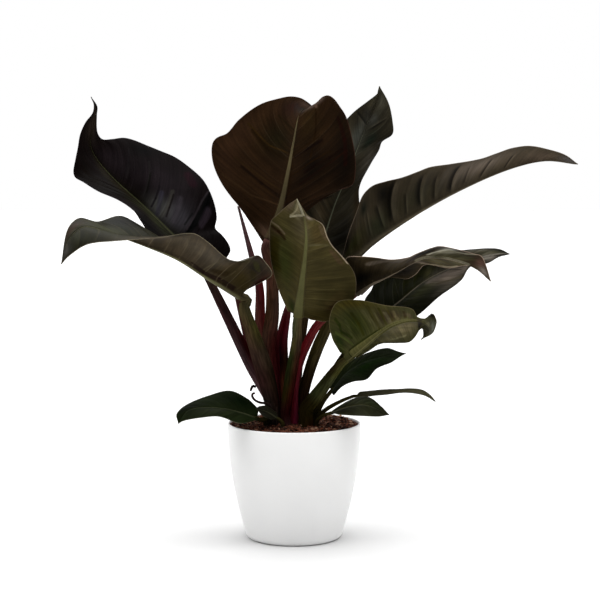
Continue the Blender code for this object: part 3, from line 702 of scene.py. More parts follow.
def tone(red, green, blue):
    """A colour from its tones on a chart of 0 to 255."""
    return tuple((part / 12.92 if part <= 0.04045 else ((part + 0.055) / 1.055) ** 2.4)
                 for part in (red / 255, green / 255, blue / 255))


def parts(tree, attribute):
    """A stored vector's three parts, as sockets."""
    vector = put(tree, "ShaderNodeAttribute", attribute_name=attribute).outputs["Vector"]
    return put(tree, "ShaderNodeSeparateXYZ", {0: vector}).outputs


def skin_layer(name, layer, numbers):
    """The start of a group that lays something over a leaf's skin."""
    takes = dict.fromkeys(["Skin", *layer], "Color") | dict.fromkeys(numbers, "Float")
    return new_group(name, "ShaderNodeTree", takes, {"Color": "Color"})


def wash_group():
    """A soft cloud of colour over a leaf's skin at one place; many such clouds are painted shade and sheen.
    """
    tree, given, out = skin_layer("wash of colour", ["Wash"], WASH_INPUTS)
    place = parts(tree, "leaf_place")
    far = []
    for part, middle, wide in (("X", "Along", "Reach Along"), ("Y", "Across", "Reach Across")):
        gone = maths(tree, "DIVIDE", maths(tree, "SUBTRACT", place[part], given[middle]), given[wide])
        far.append(maths(tree, "MULTIPLY", gone, gone))
    cloud = maths(tree, "EXPONENT", maths(tree, "MULTIPLY", maths(tree, "ADD", *far), -1.0))
    share = maths(tree, "MULTIPLY", cloud, given["Strength"])
    feed(tree, out, {"Color": mixed(tree, share, given["Skin"], given["Wash"])})
    return tree


def stroke_group():
    """A soft straight line of colour on a leaf's skin between two places; many are painted shade and sheen.
    """
    tree, given, out = skin_layer("stroke of colour", ["Stroke"], STROKE_INPUTS)
    place = parts(tree, "leaf_place")

    def spot(along, across):
        feeds = {"X": along, "Y": maths(tree, "MULTIPLY", across, LEAF_SLENDER)}
        return put(tree, "ShaderNodeCombineXYZ", feeds).outputs[0]

    def vectors(operation, *values, out="Vector"):
        return put(tree, "ShaderNodeVectorMath", dict(enumerate(values)), operation=operation).outputs[out]

    start = spot(given["Along From"], given["Across From"])
    run = vectors("SUBTRACT", spot(given["Along To"], given["Across To"]), start)
    gone = vectors("SUBTRACT", spot(place["X"], place["Y"]), start)
    along_run = vectors("DOT_PRODUCT", gone, run, out="Value")
    part = maths(tree, "DIVIDE", along_run, vectors("DOT_PRODUCT", run, run, out="Value"))
    part = put(tree, "ShaderNodeClamp", {"Value": part}).outputs[0]
    nearest = put(tree, "ShaderNodeVectorMath", {0: run, "Scale": part}, operation="SCALE").outputs["Vector"]
    off = maths(tree, "DIVIDE", vectors("DISTANCE", gone, nearest, out="Value"), given["Width"])
    share = maths(tree, "MULTIPLY", fade(tree, off, 0.3, 1.0, 1.0, 0.0), given["Strength"])
    feed(tree, out, {"Color": mixed(tree, share, given["Skin"], given["Stroke"])})
    return tree


def painted_fold_group():
    """A fold painted on a leaf's skin from one place to another: painted shade beside a painted highlight."""
    tree, given, out = skin_layer("crease", [], PAINTED_FOLD_INPUTS)
    place = parts(tree, "leaf_place")
    span = maths(tree, "SUBTRACT", given["Across To"], given["Across From"])
    share = maths(tree, "DIVIDE", maths(tree, "SUBTRACT", place["Y"], given["Across From"]), span)
    run = maths(tree, "SUBTRACT", given["Along To"], given["Along From"])
    bow = product(tree, share, maths(tree, "SUBTRACT", 1.0, share), 4.0)
    line = maths(tree, "ADD", given["Along From"], maths(tree, "MULTIPLY", run, share))
    line = maths(tree, "ADD", line, maths(tree, "MULTIPLY", bow, given["Bend"]))
    gone = maths(tree, "DIVIDE", maths(tree, "SUBTRACT", place["X"], line), given["Width"])
    from_middle = maths(tree, "ABSOLUTE", maths(tree, "SUBTRACT", share, 0.5))
    ends = fade(tree, from_middle, 0.25, 0.5, 1.0, 0.0)
    painted_shade = product(tree, fade(tree, gone, -1.0, -0.15), fade(tree, gone, -0.1, 0.1, 1.0, 0.0), ends,
                     given["Depth"])
    painted_highlight = product(tree, fade(tree, gone, -0.1, 0.15), fade(tree, gone, 0.15, 0.9, 1.0, 0.0), ends,
                    given["Light"])
    with_painted_shade = mixed(tree, painted_shade, given["Skin"], scaled(tree, given["Skin"], CREASE_PAINTED_SHADE))
    lit = mixed(tree, 1.0, scaled(tree, with_painted_shade, CREASE_PAINTED_HIGHLIGHT), CREASE_PAINTED_SHEEN, "ADD")
    feed(tree, out, {"Color": mixed(tree, painted_highlight, with_painted_shade, lit)})
    return tree


def skin_group():
    """A leaf's skin: painted pleat shade and highlight, streaks along side veins, midrib, veins and pale
    edge.
    """
    takes = dict.fromkeys(["Skin", "Vein", "Rib", "Edge"], "Color") | dict.fromkeys(SKIN_DEFAULTS, "Float")
    gives = {"Color": "Color", "Roughness": "Float", "Height": "Float"}
    tree, given, out = new_group("leaf skin", "ShaderNodeTree", takes, gives)
    place, reach = parts(tree, "leaf_place"), parts(tree, "leaf_reach")
    where = object_place(tree)
    under = reach["Z"]
    over = maths(tree, "SUBTRACT", 1.0, under)
    outwards = maths(tree, "ABSOLUTE", place["Y"])
    half = maths(tree, "SIGN", place["Y"])

    def by_side(above, below):
        sides = maths(tree, "MULTIPLY", given[below], under), maths(tree, "MULTIPLY", given[above], over)
        return maths(tree, "ADD", *sides)

    def chance(which):
        key = maths(tree, "ADD", maths(tree, "MULTIPLY", half, HALVES_APART), maths(tree, which, place["Z"]))
        return put(tree, "ShaderNodeTexWhiteNoise", {"W": key}, noise_dimensions="1D").outputs["Value"]

    # Fine streaks run along the side veins, and soft clouds lie over the whole skin.
    axes = (place["Z"], outwards, half)
    feeds = {axis: maths(tree, "MULTIPLY", *pair) for axis, *pair in zip("XYZ", axes, SKIN_STREAKS)}
    streak = clouds(tree, put(tree, "ShaderNodeCombineXYZ", feeds).outputs[0], 1.0, 4.0, 0.62)
    streaked = mixed(tree, fade(tree, streak, 0.32, 0.68), *SKIN_STREAK_TONES)
    skin = mixed(tree, given["Streaks"], given["Skin"], scaled(tree, given["Skin"], streaked))
    cloud = clouds(tree, where, SKIN_CLOUD_SCALE, 4.0)
    clouded = mixed(tree, fade(tree, cloud, 0.3, 0.7), *SKIN_CLOUD_TONES)
    skin = scaled(tree, skin, clouded)
    # Each pleat between two side veins gets a painted highlight where it starts and painted shade where it
    # ends.
    band = maths(tree, "FRACT", place["Z"])
    wander = clouds(tree, where, SKIN_WANDER_SCALE, 1.0)
    uneven = fade(tree, maths(tree, "ADD", chance("FLOOR"), wander), 0.55, 1.45)
    amount = product(tree, uneven, given["Pleats"], fade(tree, outwards, 0.02, 0.25),
                     fade(tree, outwards, 0.7, 1.0, 1.0, 0.35))
    painted_shade = product(tree, fade(tree, band, 0.45, 0.94), amount, fade(tree, band, 0.95, 1.0, 1.0, 0.0))
    pleat_highlight = maths(tree, "MULTIPLY", fade(tree, band, 0.02, 0.5, 1.0, 0.0), amount)
    skin = mixed(tree, painted_shade, skin, scaled(tree, skin, PLEAT_PAINTED_SHADE))
    skin = mixed(tree, pleat_highlight, skin, scaled(tree, skin, PLEAT_PAINTED_HIGHLIGHT))
    # The side veins, each more or less plain to see, fade towards the margin.
    vein = product(tree, fade(tree, maths(tree, "PINGPONG", place["Z"], 0.5), 0.01, 0.06, 1.0, 0.0),
                   fade(tree, outwards, 0.4, 1.0, 1.0, 0.1), fade(tree, streak, 0.3, 0.6, 0.4, 1.0),
                   fade(tree, chance("ROUND"), 0.0, 0.9, 0.15, 1.0))
    seen = maths(tree, "MULTIPLY", vein, by_side("Veins Above", "Veins Below"))
    skin = mixed(tree, seen, skin, given["Vein"])
    # The midrib fades a little at the base and much at the tip, and the margin has a thin pale edge.
    off_rib = maths(tree, "DIVIDE", reach["X"], by_side("Rib Above", "Rib Below"))
    rib = product(tree, fade(tree, off_rib, 0.45, 1.15, 1.0, 0.0), fade(tree, place["X"], 0.0, 0.3, 0.5, 1.0),
                  fade(tree, place["X"], 0.74, 0.88, 1.0, 0.2))
    rim = fade(tree, maths(tree, "DIVIDE", reach["Y"], given["Edge Width"]), 0.4, 1.2, 1.0, 0.0)
    skin = mixed(tree, rib, skin, scaled(tree, given["Rib"], clouded))
    skin = mixed(tree, rim, skin, scaled(tree, given["Edge"], clouded))
    rough = maths(tree, "ADD", fade(tree, streak, 0.3, 0.7, 0.30, 0.46), maths(tree, "MULTIPLY", under, 0.10))
    height = maths(tree, "ADD", maths(tree, "MULTIPLY", vein, -0.7), maths(tree, "MULTIPLY", streak, 0.9))
    pores = clouds(tree, where, SKIN_PORE_SCALE, 2.0)
    height = maths(tree, "ADD", height, maths(tree, "MULTIPLY", pores, 0.12))
    feed(tree, out, {"Color": skin, "Roughness": rough, "Height": height})
    return tree


def use_group(tree, group, feeds):
    """A group placed in a tree."""
    made = tree.nodes.new("ShaderNodeGroup")
    made.node_tree = group
    feed(tree, made, feeds)
    return made.outputs


def washed(tree, colour, washes):
    """A colour under soft clouds, each its three tones, its place, its reach and its strength."""
    for red, green, blue, *numbers in washes:
        feeds = {"Skin": colour, "Wash": tone(red, green, blue)} | dict(zip(WASH_INPUTS, numbers))
        colour = use_group(tree, WASH, feeds)["Color"]
    return colour


def stroked(tree, colour, strokes):
    """A colour under soft lines, each its three tones, width, strength, and along and across by turns."""
    for red, green, blue, width, strength, *spots in strokes:
        for k in range(0, len(spots) - 2, 2):
            numbers = zip(STROKE_INPUTS, (*spots[k:k + 4], width, strength))
            feeds = {"Skin": colour, "Stroke": tone(red, green, blue)} | dict(numbers)
            colour = use_group(tree, STROKE, feeds)["Color"]
    return colour


def with_painted_folds(tree, colour, painted_folds):
    """A colour with folds of painted shade and highlight, each a tuple of the fold group's numbers."""
    for numbers in painted_folds:
        colour = use_group(tree, PAINTED_FOLD, {"Skin": colour} | dict(zip(PAINTED_FOLD_INPUTS, numbers)))["Color"]
    return colour


def leaf_finish(name, upper, under, vein, rib, edge, gloss=0.035, upper_washes=(), under_washes=(),
                strokes=(), painted_folds=(), **numbers):
    """A leaf's material, from the tones of its upper side, underside, veins, midrib and edge.

    numbers are the skin group's, in place of SKIN_DEFAULTS. Strokes and painted folds lie on the sides that
    have washes. Besides the leaf's own colour, the washes and strokes hold painted shade and painted sheen.
    """
    made, tree, shader = new_material(name)
    sides = []
    for tones, washes in ((upper, upper_washes), (under, under_washes)):
        colour = washed(tree, tone(*tones), washes)
        if washes:
            colour = with_painted_folds(tree, stroked(tree, colour, strokes), painted_folds)
        sides.append(colour)
    feeds = {"Skin": mixed(tree, parts(tree, "leaf_reach")["Z"], *sides), "Vein": tone(*vein),
             "Rib": tone(*rib), "Edge": tone(*edge)}
    named = {label.replace("_", " ").title(): number for label, number in numbers.items()}
    skin = use_group(tree, SKIN, feeds | SKIN_DEFAULTS | named)
    finish(tree, shader, skin["Color"], skin["Roughness"], gloss, skin["Height"], SKIN_BUMP_STRENGTH,
           SKIN_BUMP_DEPTH)
    return made


def stalk_finish(name, left, right=None, streak=0.35):
    """A stalk's material: chart tones in turn from foot to top, left and right, some light and shade painted
    in.
    """
    made, tree, shader = new_material(name)
    grain = put(tree, "ShaderNodeAttribute", attribute_name="stalk_grain").outputs["Vector"]
    sides = []
    for tones in (left, right or left):
        side = put(tree, "ShaderNodeValToRGB", {0: parts(tree, "stalk_place")["X"]})
        side.color_ramp.interpolation = "EASE"
        for k in range(1, len(tones) - 1):
            side.color_ramp.elements.new(k / (len(tones) - 1))
        for stop, chart in zip(side.color_ramp.elements, tones):
            stop.color = (*tone(*chart), 1)
        sides.append(side.outputs[0])
    colour = mixed(tree, fade(tree, parts(tree, "stalk_grain")["X"], -0.8, 0.8), *sides)
    fibres = clouds(tree, grain, STALK_FIBRE_SCALE, 4.0, 0.6)
    blotch = clouds(tree, grain, STALK_BLOTCH_SCALE, 2.0)
    streaked = mixed(tree, fade(tree, fibres, 0.35, 0.65), (1 - streak,) * 3, (1 + streak,) * 3)
    blotched = mixed(tree, fade(tree, blotch, 0.3, 0.7), *STALK_BLOTCH_TONES)
    colour = scaled(tree, scaled(tree, colour, streaked), blotched)
    rough = fade(tree, fibres, 0.3, 0.7, 0.36, 0.5)
    finish(tree, shader, colour, rough, STALK_GLOSS, fibres, STALK_BUMP_STRENGTH, STALK_BUMP_DEPTH)
    return made


def metres(values):
    """Numbers or points given in millimetres, turned into metres."""
    return [metres(value) if isinstance(value, tuple) else value / 1000 for value in values]


def tube(name, points, radii, material, run_on=(), foot=True, sides=RING_SIDES, step=RING_STEP):
    """A tapered stalk along a guide curve. run_on are extra (centre, radius) rings past its end."""
    guide = Guide(points)
    thickness = Guide([(i, radius * 1000, 0) for i, radius in enumerate(radii)])
    count = max(LEAST_RINGS, round(guide.lengths[-1] / step))
    rings = [(guide.at(k / count), thickness.at(k / count).y / 1000) for k in range(count + 1)]
    if foot:
        rings = [(centre, radius * (1 + FOOT_SWELL * math.exp(-(centre.z - points[0][2]) / FOOT_RISE)))
                 for centre, radius in rings]
        rings.insert(0, (rings[0][0] - Vector((0, 0, FOOT_DEPTH)), rings[0][1]))
    rings += list(run_on)
    maker = bmesh.new()
    place_layer = maker.verts.layers.float_vector.new("stalk_place")
    grain_layer = maker.verts.layers.float_vector.new("stalk_grain")
    facets, facet_height = STALK_FACETS
    side = Vector((1, 0, 0))
    made, travelled = [], 0.0
    for i, (centre, radius) in enumerate(rings):
        ahead = (rings[min(i + 1, len(rings) - 1)][0] - rings[max(i - 1, 0)][0]).normalized()
        side = (side - ahead * side.dot(ahead)).normalized()
        other = ahead.cross(side)
        travelled += (centre - rings[max(i - 1, 0)][0]).length
        ring = []
        for k in range(sides):
            turn = 2 * math.pi * k / sides
            outward = side * math.cos(turn) + other * math.sin(turn)
            vert = maker.verts.new(centre + outward * radius * (1 + facet_height * math.cos(facets * turn)))
            vert[place_layer] = (i / (len(rings) - 1), k / sides, 0)
            vert[grain_layer] = (math.cos(turn), math.sin(turn), travelled * STALK_GRAIN)
            ring.append(vert)
        made.append(ring)
    for ring, above in zip(made, made[1:]):
        for k in range(sides):
            after = (k + 1) % sides
            maker.faces.new((ring[k], ring[after], above[after], above[k]))
    maker.faces.new(made[0][::-1])
    maker.faces.new(made[-1])
    bmesh.ops.recalc_face_normals(maker, faces=maker.faces)
    return new_object(name, maker, material)


def rising_from(base, radius):
    """The first points of a stalk, which leaves the soil upright."""
    return [Vector((*base, SOIL_TOP + STALK_GAP + step * radius)) for step in STALK_RISE]


def leaf(name, base, stalk, radii, rib, left, right, blade_look, stalk_look, slots, veins=8, lead=0.1,
         quilt=0.4, shift=0.0):
    """One leaf's blade and stalk, each in its CAD node's place, with the stalk running on into the midrib.

    Points, radii and quilt are in millimetres.
    """
    radii = metres(radii)
    neck = radii[-1] + STALK_GAP
    blade = Blade(metres(rib), metres(left), metres(right), neck, veins, lead, quilt / 1000, shift)
    stands_for(blade.mesh("leaf_" + name, blade_look), "blade_" + name)
    joint, along, up = blade.joint()
    end = joint - along * STALK_GAP * 2 - up * radii[-1] / 2
    points = rising_from(metres(base), radii[0]) + metres(stalk) + [end - along * 2 * radii[-1], end]
    run_on = []
    for share in RUN_ON_SHARES:
        half_rib = blade.half_rib(share)
        centre = blade.rib.at(share**RIB_CROWDING) - up * half_rib * RUN_ON_SINK
        run_on.append((centre, half_rib * RUN_ON_SLIM))
    held = tube("stalk_" + name, points, radii, stalk_look, run_on)
    stands_for(held, "petiole_" + name)


WASH = wash_group()
STROKE = stroke_group()
PAINTED_FOLD = painted_fold_group()
SKIN = skin_group()

leaf(
    "upper_left", base=(-27, 8), radii=(7.2, 8.2, 8.4, 4.2), veins=15, lead=0.2, quilt=0.9,
    slots=("stalk_purple", "blade_purple"),
    stalk=[(-57, 14, 230), (-99, 24, 314), (-116, 27, 348)],
    rib=[(-138, 30, 385), (-168, 44, 411), (-204, 66, 444), (-263, 95, 496), (-286, 103, 531),
         (-280, 99, 562), (-278, 96, 584), (-283, 91, 599)],
    left=[(-146, 18, 370), (-184, 9, 395), (-207, 18, 427), (-218, 24, 442), (-240, 37, 456), (-270, 55, 468),
          (-293, 70, 481), (-304, 75, 487), (-307, 78, 495), (-305, 82, 510), (-302, 88, 528),
          (-299, 92, 547), (-292, 96, 564), (-282, 97, 577), (-280, 95, 589)],
    right=[(-94, 50, 375), (-88, 54, 386), (-91, 56, 396), (-100, 57, 408), (-109, 59, 417), (-107, 63, 431),
           (-110, 69, 448), (-117, 75, 467), (-128, 81, 485), (-150, 91, 504), (-168, 97, 516),
           (-187, 102, 524), (-207, 107, 532), (-227, 111, 540), (-241, 112, 543), (-257, 109, 541),
           (-270, 105, 541), (-276, 100, 551), (-276, 97, 574), (-275, 95, 586)],
    blade_look=leaf_finish(
        "near-black purple leaf", upper=(9, 5, 5), under=(40, 34, 28), vein=(50, 47, 50), rib=(46, 47, 28),
        edge=(26, 22, 22), veins_above=0.1, rib_above=0.5, pleats=0.3, gloss=0.015,
        # The grey washes are painted sheen.
        upper_washes=[
            (31, 33, 19, 0.3, -0.25, 0.16, 0.28, 0.8), (24, 21, 10, 0.6, -0.1, 0.2, 0.12, 0.7),
            (45, 43, 47, 0.28, 0.25, 0.09, 0.25, 0.8), (72, 72, 69, 0.37, 0.15, 0.06, 0.15, 0.6),
            (25, 20, 23, 0.45, 0.5, 0.15, 0.3, 0.7), (13, 10, 10, 0.09, 0.75, 0.09, 0.3, 0.8),
            (22, 17, 19, 0.68, 0.25, 0.1, 0.25, 0.7), (2, 2, 2, 0.63, 0.85, 0.06, 0.15, 0.8),
            (8, 5, 2, 0.6, -0.65, 0.13, 0.25, 0.7), (2, 2, 2, 0.24, -0.85, 0.08, 0.25, 0.7),
            (45, 37, 30, 0.9, 0, 0.08, 0.6, 0.6),
        ],
        # The near-black first stroke is painted shade along a fold, and the grey strokes are painted sheen.
        strokes=[
            (1, 1, 1, 0.026, 1, 0.282, 0.95, 0.25, 0.81, 0.221, 0.64, 0.196, 0.46, 0.162, 0.24),
            (31, 27, 29, 0.007, 0.9, 0.301, 0.95, 0.277, 0.78, 0.225, 0.49, 0.183, 0.24),
            (2, 2, 2, 0.008, 0.7, 0.245, 0.51, 0.213, 0.26),
            (45, 43, 39, 0.015, 0.6, 0.386, 0.47, 0.338, 0.22, 0.323, 0.07),
            (10, 5, 5, 0.007, 0.8, 0.371, 0.44, 0.332, 0.24, 0.305, 0.1),
            (35, 33, 42, 0.017, 0.6, 0.415, 0.33, 0.349, 0.03),
            (11, 8, 11, 0.008, 0.8, 0.444, 0.39, 0.413, 0.19, 0.398, 0.05),
            (24, 22, 21, 0.005, 0.6, 0.567, 0.67, 0.521, 0.47, 0.476, 0.18, 0.455, 0.03),
            (7, 7, 4, 0.006, 0.7, 0.518, 0.48, 0.465, 0.17),
            (21, 18, 18, 0.007, 0.7, 0.614, 0.39, 0.584, 0.16),
            (17, 14, 15, 0.005, 0.6, 0.676, 0.72, 0.631, 0.45, 0.601, 0.21),
            (40, 33, 39, 0.03, 0.6, 0.225, 0.83, 0.179, 0.61),
            (41, 37, 41, 0.02, 0.6, 0.337, 0.48, 0.256, 0.14),
            (25, 6, 13, 0.03, 0.6, 0.404, 0.87, 0.364, 0.81),
        ],
    ),
    stalk_look=stalk_finish(
        "purple-brown stalk",
        [(66, 46, 48), (73, 53, 55), (50, 37, 38), (48, 29, 30), (39, 30, 26), (43, 31, 28)],
        [(53, 27, 30), (47, 11, 17), (34, 3, 3), (42, 26, 26), (51, 37, 32), (49, 35, 31)],
    ),
)


# ---- The tall leaf behind the middle.
# It turns its red-brown underside to the front, with a pale raised midrib and forward side veins. Its
# tip is folded back, which leaves a short pale crease between two rounded shoulders.
leaf(
    "centre_back", base=(-24, -6), radii=(7, 8.6, 9.4, 9.6, 6), veins=13, lead=0.14, quilt=0.6, shift=0.4,
    slots=("stalk_purple", "blade_brown"),
    stalk=[(-34, -8, 255), (-29, -10, 309), (-31, -10, 366)],
    rib=[(-33, -10, 403), (-19, -14, 444), (-8, -16, 494), (-1, -12, 531), (9, 4, 573), (29, 40, 578)],
    left=[(12, 10, 437), (38, 13, 457), (62, 15, 470), (79, 20, 477), (83, 22, 497), (82, 22, 519),
          (77, 18, 544), (70, 15, 568), (61, 12, 582), (53, 9, 592), (45, 8, 596), (37, 9, 593),
          (32, 24, 585)],
    right=[(-40, 2, 397), (-57, 8, 423), (-73, 12, 446), (-87, 14, 463), (-98, 16, 479), (-107, 18, 498),
           (-111, 18, 516), (-110, 18, 532), (-104, 18, 540), (-90, 17, 546), (-74, 15, 564), (-46, 13, 584),
           (-17, 14, 593), (-4, 16, 595), (9, 19, 593), (21, 28, 586)],
    blade_look=leaf_finish(
        "red-brown leaf", upper=(34, 24, 22), under=(33, 20, 8), vein=(78, 66, 48), rib=(72, 64, 44),
        edge=(58, 36, 28), veins_above=0.2, veins_below=0.15, rib_below=0.5, pleats=0.3, gloss=0.02,
        under_washes=[
            (91, 70, 55, 0.06, 0.3, 0.05, 0.4, 0.8), (37, 24, 14, 0.18, -0.6, 0.14, 0.3, 0.8),
            (2, 2, 2, 0.45, -0.85, 0.25, 0.22, 0.8), (44, 28, 16, 0.5, 0.85, 0.2, 0.2, 0.8),
            (8, 10, 2, 0.64, 0.3, 0.1, 0.3, 0.7), (20, 3, 2, 0.84, 0.45, 0.07, 0.3, 0.7),
            (2, 2, 2, 0.87, 0, 0.03, 0.25, 0.8), (37, 26, 9, 0.75, -0.3, 0.1, 0.22, 0.7),
            (2, 2, 2, 0.5, -0.35, 0.12, 0.25, 0.7), (61, 47, 39, 0.93, 0.55, 0.04, 0.3, 0.8),
            (66, 53, 45, 0.845, -0.62, 0.018, 0.28, 3),
        ],
        strokes=[
            (66, 50, 39, 0.017, 1, 0.844, -0.55, 0.813, -0.54),
            (25, 13, 2, 0.009, 0.8, 0.534, -0.33, 0.798, -0.49),
            (38, 25, 6, 0.007, 0.8, 0.631, 0.85, 0.591, 0.37, 0.607, 0),
            (22, 14, 3, 0.008, 0.8, 0.745, 0.54, 0.736, 0.03),
            (35, 23, 8, 0.007, 0.8, 0.458, 0.69, 0.416, 0.32, 0.389, 0),
            (48, 33, 18, 0.009, 0.8, 0.355, 0.91, 0.293, 0.5, 0.3, 0),
            (24, 13, 3, 0.009, 0.8, 0.608, 0, 0.627, -0.25, 0.639, -0.52),
            (29, 16, 3, 0.008, 0.8, 0.474, 0, 0.516, -0.36, 0.532, -0.64),
            (24, 9, 3, 0.009, 0.8, 0.405, -0.2, 0.505, -0.89),
            (22, 12, 2, 0.011, 0.7, 0.613, 0.73, 0.573, 0.39, 0.566, 0.05),
            (11, 4, 1, 0.013, 0.7, 0.427, 0.59, 0.384, 0.31, 0.352, 0.01),
            (10, 2, 1, 0.015, 0.7, 0.586, -0.06, 0.601, -0.27, 0.611, -0.52),
            (14, 4, 1, 0.015, 0.7, 0.47, -0.27, 0.5, -0.64, 0.519, -0.82),
            (22, 4, 2, 0.013, 0.6, 0.691, -0.86, 0.565, -0.89, 0.433, -0.86),
        ],
    ),
    stalk_look=stalk_finish(
        "brown-red stalk",
        [(57, 29, 26), (57, 31, 27), (54, 37, 29), (43, 27, 15), (69, 41, 34), (70, 49, 46)],
        [(59, 23, 23), (61, 18, 22), (52, 16, 15), (54, 37, 31), (59, 41, 27), (69, 44, 38)],
    ),
)


# ---- The tall leaf at the upper right.
# Its upper side has a grey-green sheen on the left half, painted into its colour. The midrib is a thin pale
# line, and the lower part is painted dark as shade from the leaf beside it.
leaf(
    "upper_right", base=(3, -3), radii=(5, 4.5, 4.5, 3.5), veins=12, quilt=0.8,
    slots=("stalk_purple", "blade_green"),
    stalk=[(8, 6, 240), (16, 20, 300)],
    rib=[(33, 40, 377), (55, 61, 446), (72, 73, 486), (89, 86, 530), (103, 95, 565), (115, 97, 595),
         (119, 95, 614)],
    left=[(11, 36, 393), (-2, 41, 449), (23, 55, 510), (58, 71, 551), (82, 83, 577), (105, 91, 595),
          (117, 93, 605)],
    right=[(67, 54, 371), (91, 66, 403), (91, 78, 445), (91, 85, 474), (107, 96, 506), (119, 100, 526),
           (123, 102, 537), (138, 105, 548), (138, 104, 565), (132, 100, 591)],
    blade_look=leaf_finish(
        "dark grey-green leaf", upper=(38, 34, 24), under=(48, 46, 36), vein=(66, 68, 56), rib=(84, 86, 70),
        edge=(54, 54, 46), veins_above=0.3,
        upper_washes=[
            (75, 64, 46, 0.3, -0.28, 0.08, 0.2, 0.8), (2, 2, 2, 0.18, 0.45, 0.13, 0.4, 0.8),
            (65, 66, 59, 0.74, -0.22, 0.08, 0.25, 0.9), (27, 25, 22, 0.86, -0.4, 0.03, 0.45, 0.8),
            (62, 62, 56, 0.84, 0.2, 0.03, 0.2, 0.8), (11, 25, 18, 0.73, 0.3, 0.05, 0.22, 0.7),
            (55, 51, 37, 0.91, -0.6, 0.05, 0.35, 0.7), (72, 67, 58, 0.6, 0.6, 0.07, 0.25, 0.7),
            (29, 18, 2, 0.32, 0.9, 0.15, 0.15, 0.7), (62, 60, 50, 0.92, 0.5, 0.05, 0.35, 0.7),
        ],
        painted_folds=[
            (0.245, -0.7, 0.43, -0.08, 0, 0.018, 0.9, 0.5), (0.81, -1, 0.815, 0.05, 0, -0.022, 0.8, 0.3),
            (0.795, 0.1, 0.835, 0.8, 0, 0.018, 0.7, 0.6),
        ],
    ),
    stalk_look=stalk_finish("dark purple stalk", [(38, 28, 18), (38, 28, 18), (38, 40, 3)]),
)


# ---- The long leaf that reaches to the right.
# It is held almost edge on and shows its taupe underside, pleated between the side veins, with the shade and
# light of crisp curved folds painted across it, and a thin pale line along both edges.
leaf(
    "long_right", base=(12, -11), radii=(6.2, 6.6, 7.2, 7.8, 7.6, 4.5), veins=16, lead=0.02, quilt=1.8,
    slots=("stalk_olive", "blade_taupe"),
    stalk=[(13, -12, 196), (21, -10, 228), (32, -7, 259), (44, -5, 287)],
    rib=[(70, 4, 368), (106, 13, 400), (173, 30, 443), (233, 40, 474), (294, 44, 499), (343, 46, 510),
         (388, 46, 505)],
    left=[(85, 44, 390), (131, 79, 425), (191, 98, 461), (247, 101, 486), (301, 86, 506), (347, 63, 516)],
    right=[(65, -12, 382), (72, -19, 410), (84, -21, 443), (91, -20, 462), (104, -18, 475), (122, -17, 481),
           (143, -16, 486), (165, -13, 494), (181, -11, 500), (208, -6, 504), (249, 4, 511), (273, 11, 519),
           (294, 17, 526), (319, 24, 529), (348, 34, 524), (371, 43, 517)],
    blade_look=leaf_finish(
        "taupe pleated leaf", upper=(40, 42, 34), under=(51, 44, 32), vein=(38, 32, 26), rib=(86, 78, 62),
        edge=(92, 80, 68), veins_above=0.2, veins_below=0.15, pleats=0.4, streaks=0.5,
        under_washes=[
            (48, 49, 18, 0.1, 0.3, 0.07, 0.2, 0.8), (2, 2, 2, 0.05, 0.8, 0.07, 0.4, 0.8),
            (47, 42, 19, 0.13, 0.1, 0.04, 0.14, 0.7), (2, 10, 2, 0.205, 0.7, 0.02, 0.14, 0.9),
            (2, 2, 2, 0.29, 0.72, 0.03, 0.35, 0.9), (38, 43, 27, 0.25, 0.15, 0.05, 0.22, 0.7),
            (40, 38, 23, 0.42, 0.3, 0.1, 0.28, 0.7), (95, 84, 73, 0.65, 0.6, 0.11, 0.32, 0.7),
            (72, 61, 50, 0.88, 0.35, 0.08, 0.4, 0.8), (79, 76, 74, 0.97, 0.5, 0.03, 0.5, 0.8),
        ],
        painted_folds=[
            (0.205, 0, 0.22, 0.62, 0, 0.02, 0.5, 0.4), (0.275, 0, 0.262, 0.6, 0, 0.022, 0.8, 0.4),
            (0.325, -0.05, 0.345, 1.1, -0.016, 0.034, 0.95, 0.8), (0.382, 0, 0.376, 0.6, 0, 0.014, 0.6, 0.5),
            (0.448, -0.05, 0.442, 0.9, -0.01, 0.024, 0.95, 0.9),
            (0.503, -0.02, 0.494, 0.72, -0.004, 0.018, 0.7, 0.5),
            (0.569, -0.05, 0.572, 1, -0.01, 0.024, 0.95, 0.9), (0.616, 0.05, 0.61, 0.8, 0, 0.014, 0.55, 0.4),
            (0.676, 0, 0.694, 0.8, 0, 0.018, 0.8, 0.6), (0.762, 0, 0.776, 0.65, 0, 0.014, 0.8, 0.5),
        ],
    ),
    stalk_look=stalk_finish(
        "dark olive-brown stalk",
        [(36, 3, 10), (23, 15, 6), (48, 43, 19), (64, 58, 33), (62, 57, 33)],
        [(18, 4, 9), (27, 17, 8), (61, 53, 33), (65, 60, 37), (63, 57, 35)],
    ),
)


